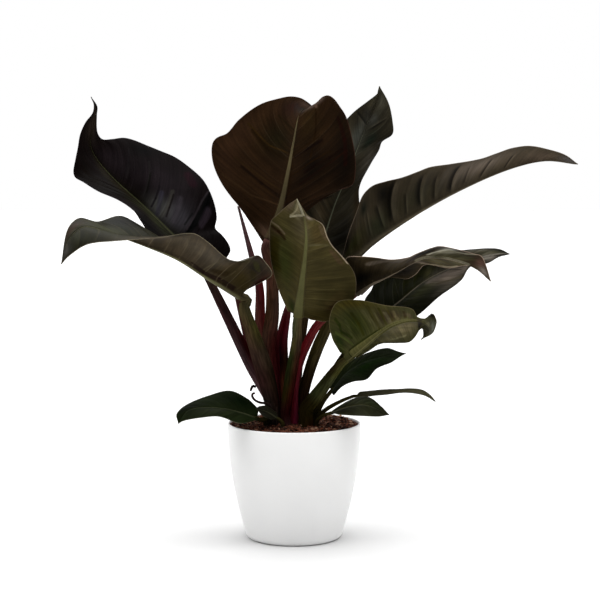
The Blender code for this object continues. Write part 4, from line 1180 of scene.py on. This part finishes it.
# ---- The long leaf that reaches to the left.
# The near half hangs down and shows its taupe underside with fine pale veins. Past the middle the leaf
# rolls over, so the tip shows the grey-green upper side.
leaf(
    "left", base=(-28, -23), radii=(8, 10.2, 11.6, 12.2, 11.2, 5.8), veins=14, lead=0.06, quilt=0.8,
    slots=("stalk_olive", "blade_taupe"),
    stalk=[(-38, -26, 224), (-55, -30, 279), (-66, -31, 315)],
    rib=[(-70, -32, 332), (-106, -49, 354), (-149, -69, 382), (-193, -86, 401), (-232, -103, 415),
         (-265, -118, 423), (-283, -129, 406), (-291, -135, 377)],
    left=[(-49, -60, 346), (-28, -76, 361), (-38, -84, 379), (-47, -88, 386), (-66, -93, 379),
          (-84, -100, 382), (-109, -110, 404), (-128, -115, 415), (-168, -125, 410), (-223, -136, 406),
          (-257, -141, 402), (-280, -138, 388)],
    right=[(-60, 9, 348), (-94, 21, 371), (-134, 11, 398), (-182, -10, 408), (-204, -26, 423),
           (-227, -48, 436), (-254, -73, 429), (-274, -97, 434), (-286, -117, 419)],
    blade_look=leaf_finish(
        "taupe and grey-green leaf", upper=(27, 26, 15), under=(46, 38, 25), vein=(104, 94, 74),
        rib=(88, 86, 58), edge=(100, 92, 74), veins_above=0.15, veins_below=0.3, rib_above=0.3, rib_below=0.7,
        pleats=0.3,
        upper_washes=[
            (39, 40, 25, 0.74, 0.1, 0.09, 0.4, 0.8), (30, 31, 22, 0.88, -0.3, 0.03, 0.5, 0.8),
            (55, 54, 51, 0.95, -0.3, 0.03, 0.5, 0.8), (2, 2, 2, 0.62, 0.7, 0.1, 0.3, 0.8),
            (42, 30, 24, 0.86, 0.6, 0.05, 0.4, 0.7), (58, 48, 35, 0.6, -0.85, 0.12, 0.15, 0.7),
        ],
        under_washes=[
            (41, 33, 2, 0.1, -0.22, 0.15, 0.28, 0.8), (37, 2, 2, 0.03, -0.8, 0.07, 0.22, 0.9),
            (2, 2, 2, 0.14, -0.7, 0.04, 0.2, 0.8), (93, 87, 79, 0.21, -0.85, 0.025, 0.12, 1),
            (54, 45, 33, 0.36, -0.14, 0.18, 0.14, 0.7), (8, 10, 5, 0.54, -0.82, 0.04, 0.14, 1.2),
            (121, 109, 104, 0.6, -0.7, 0.04, 0.2, 0.9), (81, 72, 58, 0.4, -0.55, 0.14, 0.3, 0.6),
        ],
        strokes=[
            (16, 18, 7, 0.018, 0.7, 0.65, 0.57, 0.628, 0.03),
            (20, 2, 2, 0.009, 0.7, 0.37, -0.03, 0.295, 0, 0.202, -0.02, 0.093, -0.01),
            (66, 59, 43, 0.006, 0.7, 0.303, -0.04, 0.303, -0.2, 0.305, -0.53, 0.311, -0.88),
            (60, 51, 31, 0.006, 0.7, 0.189, -0.02, 0.178, -0.13, 0.174, -0.32),
            (68, 59, 47, 0.004, 0.6, 0.397, -0.36, 0.404, -0.72),
            (35, 20, 13, 0.012, 0.8, 0.183, -0.86, 0.184, -0.98, 0.155, -0.97),
            (42, 40, 15, 0.023, 0.7, 0.157, -0.79, 0.129, -0.71),
            (41, 36, 21, 0.022, 0.7, 0.31, -0.95, 0.281, -0.92, 0.194, -0.65, 0.185, -0.79),
            (29, 24, 2, 0.027, 0.7, 0.117, -0.56, 0.087, -0.47),
            (33, 23, 4, 0.032, 0.7, 0.263, -0.16, 0.2, -0.17),
        ],
    ),
    stalk_look=stalk_finish(
        "broad olive stalk",
        [(31, 24, 21), (27, 23, 20), (43, 25, 23), (45, 32, 26), (57, 43, 30), (67, 59, 37), (64, 55, 36)],
        [(32, 23, 20), (22, 11, 8), (25, 17, 10), (40, 31, 22), (46, 43, 19), (52, 48, 31), (58, 49, 36)],
    ),
)


# ---- The leaf in front of the middle.
# It hangs forward and shows an olive underside, greener to the left, with a light green midrib and
# nearly level side veins. A pale line runs round its edge, and its tip folds over to a pale triangle.
leaf(
    "centre_front", base=(-12, -27), radii=(6, 7.6, 7.2, 5.8), veins=13, lead=0.05, quilt=0.6,
    slots=("stalk_olive", "blade_olive"),
    stalk=[(-4, -40, 225), (4, -56, 274)],
    rib=[(6, -66, 305), (10, -74, 341), (15, -82, 386), (16, -83, 413), (13, -78, 435), (4, -62, 458)],
    left=[(24, -58, 300), (47, -46, 298), (78, -42, 325), (82, -47, 347), (78, -52, 364), (64, -59, 383),
          (51, -64, 397), (44, -68, 409), (38, -71, 425), (27, -72, 432), (18, -72, 437), (11, -68, 447)],
    right=[(-8, -52, 311), (-21, -40, 341), (-30, -36, 375), (-32, -40, 404), (-30, -46, 429),
           (-21, -52, 438), (-8, -58, 450)],
    blade_look=leaf_finish(
        "olive leaf", upper=(60, 62, 44), under=(53, 47, 24), vein=(96, 88, 58), rib=(74, 73, 44),
        edge=(84, 74, 58), veins_above=0.3, veins_below=0.2, rib_below=0.45, pleats=0.25, streaks=0.6,
        gloss=0.02,
        under_washes=[
            (14, 26, 2, 0.08, 0.4, 0.08, 0.3, 0.8), (30, 19, 2, 0.05, -0.65, 0.1, 0.4, 0.8),
            (24, 8, 2, 0.22, -0.75, 0.08, 0.14, 0.8), (39, 44, 16, 0.45, 0.6, 0.2, 0.28, 0.8),
            (13, 2, 2, 0.48, 0.97, 0.2, 0.12, 0.8), (49, 36, 24, 0.665, 0.78, 0.022, 0.16, 0.9),
            (58, 47, 25, 0.72, -0.5, 0.07, 0.3, 0.7), (75, 70, 48, 0.655, -0.4, 0.01, 0.5, 0.6),
            (69, 62, 44, 0.77, 0.15, 0.09, 0.28, 0.7), (74, 62, 50, 0.93, 0.82, 0.06, 0.2, 0.8),
            (64, 62, 49, 0.925, 0.02, 0.045, 0.42, 1.4), (93, 84, 74, 0.855, -0.55, 0.018, 0.3, 1.2),
            (67, 60, 43, 0.857, 0.28, 0.012, 0.22, 1.2),
        ],
        strokes=[
            (37, 32, 9, 0.08, 0.6, 0.054, -0.14, 0.127, -0.79),
            (63, 54, 29, 0.044, 0.6, 0.236, -0.62, 0.301, -0.76),
            (80, 74, 54, 0.078, 1.2, 0.942, 0.21, 0.877, 0.29), (101, 94, 72, 0.016, 1, 0.985, 0, 0.832, 0.6),
            (113, 108, 91, 0.029, 1, 0.985, 0, 0.876, -0.03),
            (125, 119, 97, 0.013, 1, 0.823, 0.59, 0.849, 0.34, 0.867, 0),
            (81, 71, 54, 0.01, 0.8, 0.723, 0.99, 0.704, 0.8, 0.669, 0.63),
            (24, 13, 2, 0.017, 0.85, 0.688, 0.94, 0.667, 0.78, 0.632, 0.62),
            (73, 60, 43, 0.05, 0.6, 0.758, -0.81, 0.721, -0.88),
            (68, 52, 36, 0.035, 0.6, 0.6, -0.81, 0.53, -0.83),
            (33, 29, 2, 0.049, 0.7, 0.589, 0.85, 0.468, 0.89, 0.381, 0.84),
            (51, 46, 20, 0.007, 0.6, 0.64, -0.13, 0.654, -0.7),
            (53, 46, 21, 0.008, 0.6, 0.403, -0.06, 0.411, -0.46),
            (66, 59, 32, 0.008, 0.6, 0.292, -0.04, 0.333, -0.6),
            (30, 31, 4, 0.013, 0.8, 0.359, 0.97, 0.377, 0.91),
            (150, 136, 116, 0.014, 0.9, 0.845, -0.98, 0.74, -0.98, 0.62, -0.99, 0.52, -0.99),
        ],
    ),
    stalk_look=stalk_finish(
        "green stalk",
        [(20, 12, 11), (32, 13, 11), (29, 24, 5), (25, 27, 10), (26, 33, 13), (50, 46, 23), (49, 51, 31),
         (54, 54, 33)],
        [(46, 28, 28), (29, 3, 5), (38, 7, 6), (35, 11, 7), (45, 21, 15), (47, 35, 27), (65, 55, 35),
         (61, 56, 33)],
    ),
)


# ---- The leaf at mid height on the right.
# It lies nearly level, folded along its midrib like a gutter, brown below and olive above. Its margins
# are thin pale lines, and its reddish tip turns down to a point.
leaf(
    "right_front", base=(0, -18), radii=(5.8, 5.4, 5.8, 6, 5.6, 3.8), veins=13, quilt=0.8,
    slots=("stalk_red", "blade_brown"),
    stalk=[(1, -20, 209), (7, -19, 239), (18, -18, 266), (34, -18, 293)],
    rib=[(82, -16, 332), (102, -27, 347), (119, -38, 356), (137, -47, 366), (154, -54, 376), (170, -58, 382),
         (186, -62, 383), (205, -66, 380), (225, -70, 374), (240, -74, 366), (255, -76, 352)],
    left=[(91, -9, 329), (110, -3, 346), (122, -2, 352), (140, -3, 352), (152, -7, 351), (163, -13, 358),
          (173, -20, 370), (185, -29, 370), (204, -41, 367), (221, -56, 371), (233, -66, 371)],
    right=[(68, -25, 357), (69, -38, 380), (86, -52, 383), (107, -65, 382), (126, -75, 380), (147, -82, 383),
           (160, -87, 389), (175, -91, 395), (186, -93, 398), (200, -93, 396), (217, -92, 392),
           (231, -90, 388), (241, -87, 385), (247, -82, 375)],
    blade_look=leaf_finish(
        "brown folded leaf", upper=(66, 66, 50), under=(44, 36, 22), vein=(96, 86, 70), rib=(110, 98, 82),
        edge=(136, 118, 102), veins_above=0.35, veins_below=0.15, rib_below=0.5, edge_width=1, pleats=0.3,
        under_washes=[
            (2, 2, 2, 0.15, 0.2, 0.15, 0.22, 0.9), (56, 48, 35, 0.42, 0.45, 0.11, 0.28, 0.8),
            (116, 108, 96, 0.5, 0.78, 0.09, 0.14, 0.9), (44, 37, 39, 0.53, 0.35, 0.025, 0.25, 0.9),
            (2, 3, 2, 0.59, 0.4, 0.045, 0.2, 1.2), (2, 2, 2, 0.62, 0.78, 0.06, 0.18, 0.9),
            (139, 139, 128, 0.7, 0.6, 0.03, 0.32, 0.9), (88, 85, 60, 0.77, 0.3, 0.05, 0.22, 0.8),
            (85, 61, 52, 0.89, 0.6, 0.03, 0.45, 0.9), (112, 103, 95, 0.94, 0.3, 0.03, 0.45, 0.9),
            (2, 2, 2, 0.4, -0.5, 0.1, 0.45, 0.8), (98, 88, 76, 0.52, -0.6, 0.022, 0.5, 1),
            (86, 80, 56, 0.63, -0.5, 0.05, 0.42, 0.8), (70, 66, 41, 0.76, -0.6, 0.06, 0.35, 0.8),
        ],
        strokes=[
            (121, 111, 90, 0.021, 1, 0.505, -0.8, 0.56, -0.9, 0.65, -0.9, 0.73, -0.93),
            (99, 94, 77, 0.022, 1, 0.56, 0.03, 0.644, 0.01, 0.726, 0.03, 0.793, 0.01, 0.848, 0.02),
            (104, 100, 83, 0.025, 1, 0.658, 0.13, 0.712, 0.53, 0.709, 0.61, 0.779, 0.7, 0.814, 0.91),
            (137, 133, 116, 0.018, 0.9, 0.623, 0.16, 0.664, 0.38, 0.69, 0.71),
            (51, 48, 30, 0.061, 0.8, 0.688, 0.1, 0.755, 0.29, 0.815, 0.44),
            (71, 64, 59, 0.08, 0.8, 0.443, 0.71, 0.554, 0.86, 0.612, 0.92),
            (85, 76, 65, 0.038, 0.8, 0.234, 0.62, 0.418, 0.94, 0.482, 0.62),
            (34, 25, 5, 0.006, 0.8, 0.326, -0.94, 0.399, -0.95, 0.499, -0.95),
        ],
    ),
    stalk_look=stalk_finish(
        "crimson stalk",
        [(70, 14, 24), (64, 6, 12), (70, 6, 10), (74, 16, 20), (76, 36, 32), (70, 40, 33)],
        [(84, 22, 40), (66, 18, 26), (78, 24, 28), (102, 38, 40), (112, 66, 58), (84, 50, 44)],
    ),
)


# ---- The dark leaf behind it.
# A nearly black green upper side, with a painted grey-pink sheen along its lower half and a pale midrib.
# Its stalk rises behind the thick stalk of the low leaf in front.
leaf(
    "right_back", base=(22, -2), radii=(5.5, 5.5, 5.5, 4), veins=12, quilt=0.8,
    slots=("stalk_olive", "blade_green"),
    stalk=[(49, 4, 216), (79, 14, 260)],
    rib=[(109, 26, 290), (140, 28, 315), (177, 28, 345), (212, 28, 363), (253, 26, 376), (293, 24, 383)],
    left=[(98, 36, 307), (97, 41, 319), (106, 46, 332), (111, 49, 342), (135, 60, 362), (180, 65, 378),
          (203, 63, 385), (222, 56, 386), (242, 50, 388), (265, 40, 390), (281, 32, 389)],
    right=[(133, 10, 281), (167, 4, 301), (195, 1, 326), (225, 4, 348), (238, 10, 366), (263, 17, 371),
           (278, 20, 379)],
    blade_look=leaf_finish(
        "black-green leaf", upper=(15, 16, 6), under=(40, 38, 26), vein=(54, 54, 44), rib=(84, 78, 66),
        edge=(62, 56, 50), veins_above=0.3, pleats=0.4,
        upper_washes=[
            (50, 51, 32, 0.45, 0.3, 0.12, 0.28, 0.7), (103, 92, 81, 0.58, 0.45, 0.08, 0.35, 0.8),
            (76, 70, 54, 0.8, -0.7, 0.07, 0.22, 0.9), (72, 70, 52, 0.9, -0.35, 0.06, 0.25, 0.8),
            (113, 105, 96, 0.88, 0.35, 0.035, 0.5, 0.9), (26, 27, 2, 0.4, -0.28, 0.12, 0.2, 0.7),
            (50, 48, 27, 0.53, -0.15, 0.03, 0.2, 0.7), (61, 56, 47, 0.48, 0.85, 0.1, 0.12, 0.7),
        ],
        strokes=[
            (106, 101, 91, 0.045, 0.9, 0.862, 0.4, 0.883, -0.03, 0.961, -0.23),
            (82, 74, 66, 0.057, 0.8, 0.519, 0.16, 0.595, 0.31, 0.664, 0.81),
            (54, 48, 36, 0.02, 0.8, 0.501, 0.49, 0.607, 0.89),
            (73, 69, 55, 0.04, 0.8, 0.776, -0.84, 0.859, -0.68),
            (22, 21, 2, 0.008, 0.7, 0.342, 0, 0.547, -0.06),
        ],
        painted_folds=[(0.3, -0.65, 0.302, 0, 0, 0.008, 0.1, 0.6), (0.645, 0, 0.665, 0.85, 0, 0.014, 0.7, 0.2)],
    ),
    stalk_look=stalk_finish("black-green stalk", [(16, 13, 5), (22, 20, 8), (30, 28, 14)]),
)


# ---- The low olive leaf at the right front.
# A thick olive stalk carries it, and it shows its underside: bright olive green near the joint, brown
# towards the back edge, deeply ridged, with dark painted shade along the ridges, a prominent light midrib
# and a tip that curls under.
leaf(
    "lower_right_front", base=(16, -30), radii=(8, 9.5, 9, 5), veins=13, lead=-0.05, quilt=1.1,
    slots=("stalk_olive", "blade_olive"),
    stalk=[(29, -38, 196), (53, -58, 232)],
    rib=[(69, -76, 252), (88, -89, 269), (119, -105, 294), (140, -110, 303), (159, -113, 304),
         (169, -113, 300), (174, -109, 290), (163, -103, 279)],
    left=[(83, -68, 252), (99, -52, 259), (113, -52, 268), (136, -60, 270), (150, -68, 272), (157, -75, 279),
          (162, -85, 289), (165, -94, 292), (166, -99, 287), (165, -102, 281)],
    right=[(60, -72, 259), (50, -72, 277), (46, -73, 302), (56, -76, 325), (83, -78, 328), (101, -81, 325),
           (120, -84, 321), (137, -88, 320), (147, -92, 319), (154, -95, 316), (158, -99, 308),
           (168, -104, 306), (177, -107, 313), (182, -110, 304), (181, -109, 296), (177, -107, 287)],
    blade_look=leaf_finish(
        "bright olive leaf", upper=(52, 60, 38), under=(48, 47, 24), vein=(104, 104, 62), rib=(88, 84, 54),
        edge=(84, 76, 52), veins_above=0.3, veins_below=0.15, rib_below=0.05, pleats=0.25, gloss=0.02,
        under_washes=[
            (13, 28, 2, 0.1, 0.6, 0.06, 0.32, 0.8), (18, 27, 2, 0.02, 0.5, 0.03, 0.4, 0.8),
            (25, 33, 2, 0.3, 0.4, 0.1, 0.38, 0.7), (54, 46, 10, 0.35, 0.92, 0.12, 0.14, 0.8),
            (24, 2, 2, 0.55, 0.5, 0.1, 0.35, 0.7), (97, 88, 63, 0.65, -0.4, 0.14, 0.38, 0.8),
            (93, 87, 61, 0.42, -0.7, 0.1, 0.22, 0.7), (2, 2, 2, 0.79, -0.6, 0.018, 0.35, 1),
            (64, 62, 51, 0.9, 0, 0.06, 1.2, 0.9), (86, 88, 78, 0.9, 0.5, 0.035, 0.26, 1.2),
            (2, 2, 2, 0.82, 0.85, 0.03, 0.25, 1),
        ],
        strokes=[
            (21, 25, 2, 0.023, 0.9, 0.122, 0, 0.306, 0, 0.437, 0.01, 0.554, 0, 0.65, 0, 0.736, 0),
            (63, 61, 33, 0.005, 1, 0.122, 0, 0.212, 0, 0.343, 0, 0.452, 0, 0.551, 0, 0.638, 0, 0.714, 0,
             0.764, 0),
            (49, 51, 25, 0.017, 0.7, 0.252, 0.59, 0.248, 0.46, 0.232, 0.29, 0.234, 0.12),
            (42, 43, 16, 0.012, 0.7, 0.356, 0.64, 0.368, 0.45, 0.399, 0.08),
            (54, 52, 30, 0.024, 0.7, 0.392, 0.68, 0.416, 0.41, 0.461, 0.17),
            (53, 50, 29, 0.012, 0.7, 0.458, 0.63, 0.475, 0.38, 0.503, 0.11),
            (64, 59, 38, 0.017, 0.7, 0.524, 0.69, 0.548, 0.42, 0.567, 0.18),
            (62, 55, 34, 0.017, 0.7, 0.578, 0.75, 0.596, 0.46, 0.626, 0.23),
            (59, 51, 35, 0.042, 0.7, 0.669, 0.57, 0.721, 0.4),
            (26, 33, 2, 0.018, 0.75, 0.209, 0.83, 0.202, 0.67, 0.174, 0.55, 0.217, 0.24),
            (29, 29, 2, 0.015, 0.75, 0.314, 0.66, 0.324, 0.4, 0.324, 0.13),
            (35, 32, 7, 0.016, 0.75, 0.429, 0.83, 0.439, 0.52, 0.476, 0.07),
            (31, 30, 2, 0.013, 0.75, 0.492, 0.82, 0.513, 0.43, 0.538, 0.12),
            (40, 35, 7, 0.01, 0.75, 0.543, 0.79, 0.579, 0.27),
            (32, 22, 2, 0.013, 0.7, 0.636, 0.75, 0.669, 0.33),
            (53, 59, 25, 0.015, 0.7, 0.14, 0.76, 0.158, 0.39, 0.184, 0.1),
            (44, 48, 19, 0.029, 0.6, 0.075, 0.59, 0.05, 0.28),
            (72, 68, 44, 0.019, 0.7, 0.542, -0.11, 0.712, -0.55, 0.764, -0.78),
            (73, 68, 42, 0.02, 0.7, 0.492, -0.46, 0.653, -0.67),
            (103, 98, 70, 0.017, 0.6, 0.457, -0.78, 0.61, -0.72),
            (78, 75, 57, 0.022, 0.8, 0.857, -0.18, 0.857, 0.18),
            (37, 31, 26, 0.025, 0.8, 0.804, -0.62, 0.777, 0.59),
        ],
    ),
    stalk_look=stalk_finish(
        "thick olive stalk",
        [(30, 24, 4), (24, 18, 5), (18, 13, 4), (32, 35, 17), (28, 28, 12), (26, 20, 8), (34, 30, 14),
         (45, 44, 23)],
        [(35, 14, 5), (24, 19, 4), (34, 30, 9), (49, 48, 26), (52, 54, 33), (62, 61, 29), (63, 62, 33),
         (59, 57, 31)],
    ),
)


# ---- Three small low leaves on the right.
# The oldest leaves of the plant, dark green and plain, on thin short stalks that lean out over the rim.
LOW_STALK = stalk_finish("thin olive stalk", [(20, 15, 6), (34, 30, 12), (42, 40, 20)])


def low_leaf(name, look, **shape):
    """A small plain leaf on a thin stalk, from its finish's tones and its shape."""
    skin = leaf_finish(name.replace("_", " ") + " skin", **look)
    leaf(name, blade_look=skin, stalk_look=LOW_STALK, slots=("stalk_olive", "blade_green"), **shape)


low_leaf(
    "lower_right_back", base=(28, -14), radii=(3.5, 3.5, 3, 2.5),
    stalk=[(38, -16, 185)],
    rib=[(50, -14, 202), (69, -22, 226), (94, -30, 242), (122, -36, 250), (148, -40, 254)],
    left=[(46, -4, 214), (59, -8, 232), (80, -14, 244), (102, -20, 254), (124, -28, 260), (139, -36, 256)],
    right=[(53, -24, 196), (64, -34, 209), (78, -44, 217), (96, -50, 221), (109, -50, 235), (129, -46, 243),
           (140, -43, 250)],
    look=dict(
        upper=(24, 28, 17), under=(30, 34, 22), vein=(40, 46, 34), rib=(30, 36, 22), edge=(38, 40, 30),
        gloss=0.008,
        upper_washes=[(24, 30, 2, 0.25, -0.5, 0.2, 0.4, 0.7), (12, 33, 2, 0.6, 0.4, 0.2, 0.4, 0.7)],
    ),
)
low_leaf(
    "low_right_narrow", base=(28, -26), radii=(3, 2.8, 2.4, 2),
    stalk=[(41, -26, 176), (61, -28, 188)],
    rib=[(83, -30, 197), (107, -45, 201), (139, -60, 207), (164, -72, 208), (184, -80, 196)],
    left=[(91, -17, 200), (122, -26, 204), (143, -37, 206), (167, -54, 208), (178, -70, 203)],
    right=[(95, -48, 198), (119, -69, 203), (144, -85, 208), (167, -86, 205)],
    look=dict(
        upper=(56, 54, 39), under=(56, 54, 39), vein=(60, 60, 44), rib=(70, 70, 50), edge=(56, 54, 42),
        gloss=0,
        upper_washes=[(66, 64, 48, 0.3, 0, 0.2, 0.8, 0.7)],
    ),
)
low_leaf(
    "low_right_small", base=(30, -36), radii=(2.5, 2.2, 2),
    stalk=[(38, -46, 172)],
    rib=[(49, -54, 178), (71, -66, 187), (94, -74, 190), (124, -78, 178)],
    left=[(57, -44, 181), (71, -50, 192), (86, -54, 198), (100, -60, 198), (115, -70, 187)],
    right=[(58, -70, 177), (75, -84, 178), (95, -90, 178), (110, -86, 177)],
    look=dict(
        upper=(31, 32, 18), under=(40, 36, 24), vein=(50, 50, 36), rib=(60, 58, 38), edge=(50, 46, 32),
        gloss=0.02,
        upper_washes=[(2, 2, 2, 0.25, 0.3, 0.2, 0.5, 0.7), (42, 47, 28, 0.7, -0.4, 0.2, 0.4, 0.7)],
    ),
)


# ---- Two low leaves on the left.
# One hangs out over the rim with a pale line round its edge, and a small one stands behind its joint.
low_leaf(
    "low_left", base=(-37, -33), radii=(3.5, 3.2, 2.8),
    stalk=[(-39, -43, 167)],
    rib=[(-48, -46, 169), (-66, -58, 177), (-89, -72, 185), (-116, -82, 188), (-137, -90, 185),
         (-149, -94, 169)],
    left=[(-55, -66, 167), (-72, -90, 169), (-96, -106, 180), (-120, -110, 179), (-141, -102, 174)],
    right=[(-48, -34, 180), (-62, -28, 192), (-85, -30, 203), (-112, -46, 199), (-140, -68, 190),
           (-152, -84, 180)],
    look=dict(
        upper=(20, 26, 11), under=(46, 46, 32), vein=(46, 52, 36), rib=(60, 62, 44), edge=(66, 66, 50),
        gloss=0.004,
        upper_washes=[
            (2, 10, 3, 0.25, 0.5, 0.2, 0.4, 0.7), (33, 36, 21, 0.6, -0.5, 0.2, 0.4, 0.7),
            (2, 2, 2, 0.8, 0.4, 0.12, 0.4, 0.7),
        ],
    ),
)
low_leaf(
    "low_left_small", base=(-15, -45), radii=(2.5, 2.2, 2),
    stalk=[],
    rib=[(-22, -46, 169), (-34, -50, 177), (-50, -54, 183)],
    left=[(-30, -56, 168), (-41, -60, 174)],
    right=[(-24, -40, 176), (-36, -42, 184), (-45, -48, 185)],
    look=dict(
        upper=(19, 18, 10), under=(36, 36, 26), vein=(46, 48, 34), rib=(54, 54, 38), edge=(42, 42, 30),
        gloss=0.02,
    ),
)


# ---- The young leaf and the sheaths.
# The newest leaf is still rolled into a thin red spear. The papery red sheaths once wrapped a young leaf
# each, and stand between the stalks, pointed at the top.
RED_STREAK = 0.3
# Each: its name, its node, its foot and points above, its radii, and its material's name and chart tones.
red_stalks = [
    ("young_spear", "spear_young_leaf", (-11, 12),
     [(-44, 11, 280), (-47, 10, 340), (-57, 8, 380), (-75, 6, 448)], (5, 6.8, 8.2, 7.8, 4, 1.4), "red spear",
     [(74, 41, 35), (74, 42, 34), (73, 44, 34), (67, 37, 33), (55, 23, 27), (85, 64, 65), (73, 57, 56)],
     [(75, 41, 34), (75, 40, 34), (77, 40, 32), (75, 24, 24), (69, 19, 19), (71, 47, 48), (67, 51, 50)]),
    ("red_sheath_left", "sheath_left", (-24, 21),
     [(-54, 33, 234), (-73, 41, 302), (-82, 44, 341)], (4.2, 5.8, 6.2, 3), "red sheath on the left",
     [(56, 20, 20), (40, 12, 10), (54, 24, 28), (64, 34, 33), (68, 44, 40)], None),
    ("red_sheath_centre", "sheath_centre", (-9, -1),
     [(-21, 4, 254), (-13, 10, 301), (-1, 12, 335)], (4, 5, 5.8, 1.8), "red sheath in the middle",
     [(63, 15, 26), (67, 15, 27), (59, 7, 14), (66, 25, 28), (84, 52, 49)],
     [(54, 15, 23), (48, 14, 22), (6, 9, 10), (54, 3, 8), (76, 40, 39)]),
    ("red_sheath_front", "sheath_front", (-11, -13),
     [(-13, -16, 263), (-8, -22, 300), (-3, -26, 331)], (4.5, 6, 6, 1.8), "red sheath in front",
     [(63, 31, 19), (69, 34, 21), (18, 3, 3), (45, 4, 10), (59, 31, 23)],
     [(52, 27, 18), (47, 26, 17), (25, 14, 4), (71, 24, 31), (71, 40, 34)]),
]
for name, node, foot, above, radii, look, left, right in red_stalks:
    radii = metres(radii)
    points = rising_from(metres(foot), radii[0]) + metres(above)
    stands_for(tube(name, points, radii, stalk_finish(look, left, right, RED_STREAK)), node)


# ---- The aerial roots.
# Thin dry black roots: two come out of the soil beside the stalks, one of them curled, and one leaves
# the stalk of the upper left leaf.
ROOT_SKIN = stalk_finish("black root", [(20, 15, 13), (28, 20, 18), (34, 24, 20)], streak=0.5)
ROOT_RADII = (0.0018, 0.0018, 0.0014)
ROOT_SIDES = 10
ROOT_STEP = 0.0012
curl = [(-31, -35, 184), (-37, -36, 187), (-44, -37, 188), (-51, -38, 191), (-55, -39, 196), (-55, -39, 200),
        (-52, -38, 201)]
roots = {
    "root_curled": rising_from((-0.029, -0.035), ROOT_RADII[0]) + metres(curl),
    "root_short": rising_from((-0.024, -0.034), ROOT_RADII[0]) + metres([(-23, -33, 182)]),
    "root_upper": metres([(-52.5, 11, 203), (-56, 9, 204), (-58, 6, 201), (-59, 5, 198)]),
}
for name, points in roots.items():
    piece = tube(name + "_fibre", points, ROOT_RADII, ROOT_SKIN, foot=False, sides=ROOT_SIDES, step=ROOT_STEP)
    stands_for(piece, name)


# ---- Light.
# A white tent: soft light from above, behind and both sides, and less from the front, where the camera
# stands. The camera itself sees a plain white backdrop.
TENT_FRONT = 0.25
TENT_SIDES = 0.97
TENT_BACK = 0.8
TENT_TOP = 4.3
WHITE = (1, 1, 1)
world = bpy.data.worlds.new("white tent")
bpy.context.scene.world = world
world.use_nodes = True
tree = world.node_tree
tree.nodes.clear()
direction = put(tree, "ShaderNodeTexCoord").outputs["Generated"]
heading = put(tree, "ShaderNodeSeparateXYZ", {0: direction}).outputs
around = maths(tree, "ADD", fade(tree, heading["Y"], -0.85, -0.25, TENT_FRONT - TENT_SIDES, 0.0),
               fade(tree, heading["Y"], 0.2, 0.9, TENT_SIDES, TENT_BACK))
glow = maths(tree, "ADD", around, fade(tree, heading["Z"], 0.6, 0.98, 0.0, TENT_TOP))
tent, backdrop = (put(tree, "ShaderNodeBackground", {"Color": WHITE, "Strength": strength}).outputs[0]
                  for strength in (glow, 1.0))
seen = put(tree, "ShaderNodeLightPath").outputs["Is Camera Ray"]
both = put(tree, "ShaderNodeMixShader", {0: seen, 1: tent, 2: backdrop})
put(tree, "ShaderNodeOutputWorld", {"Surface": both.outputs[0]})
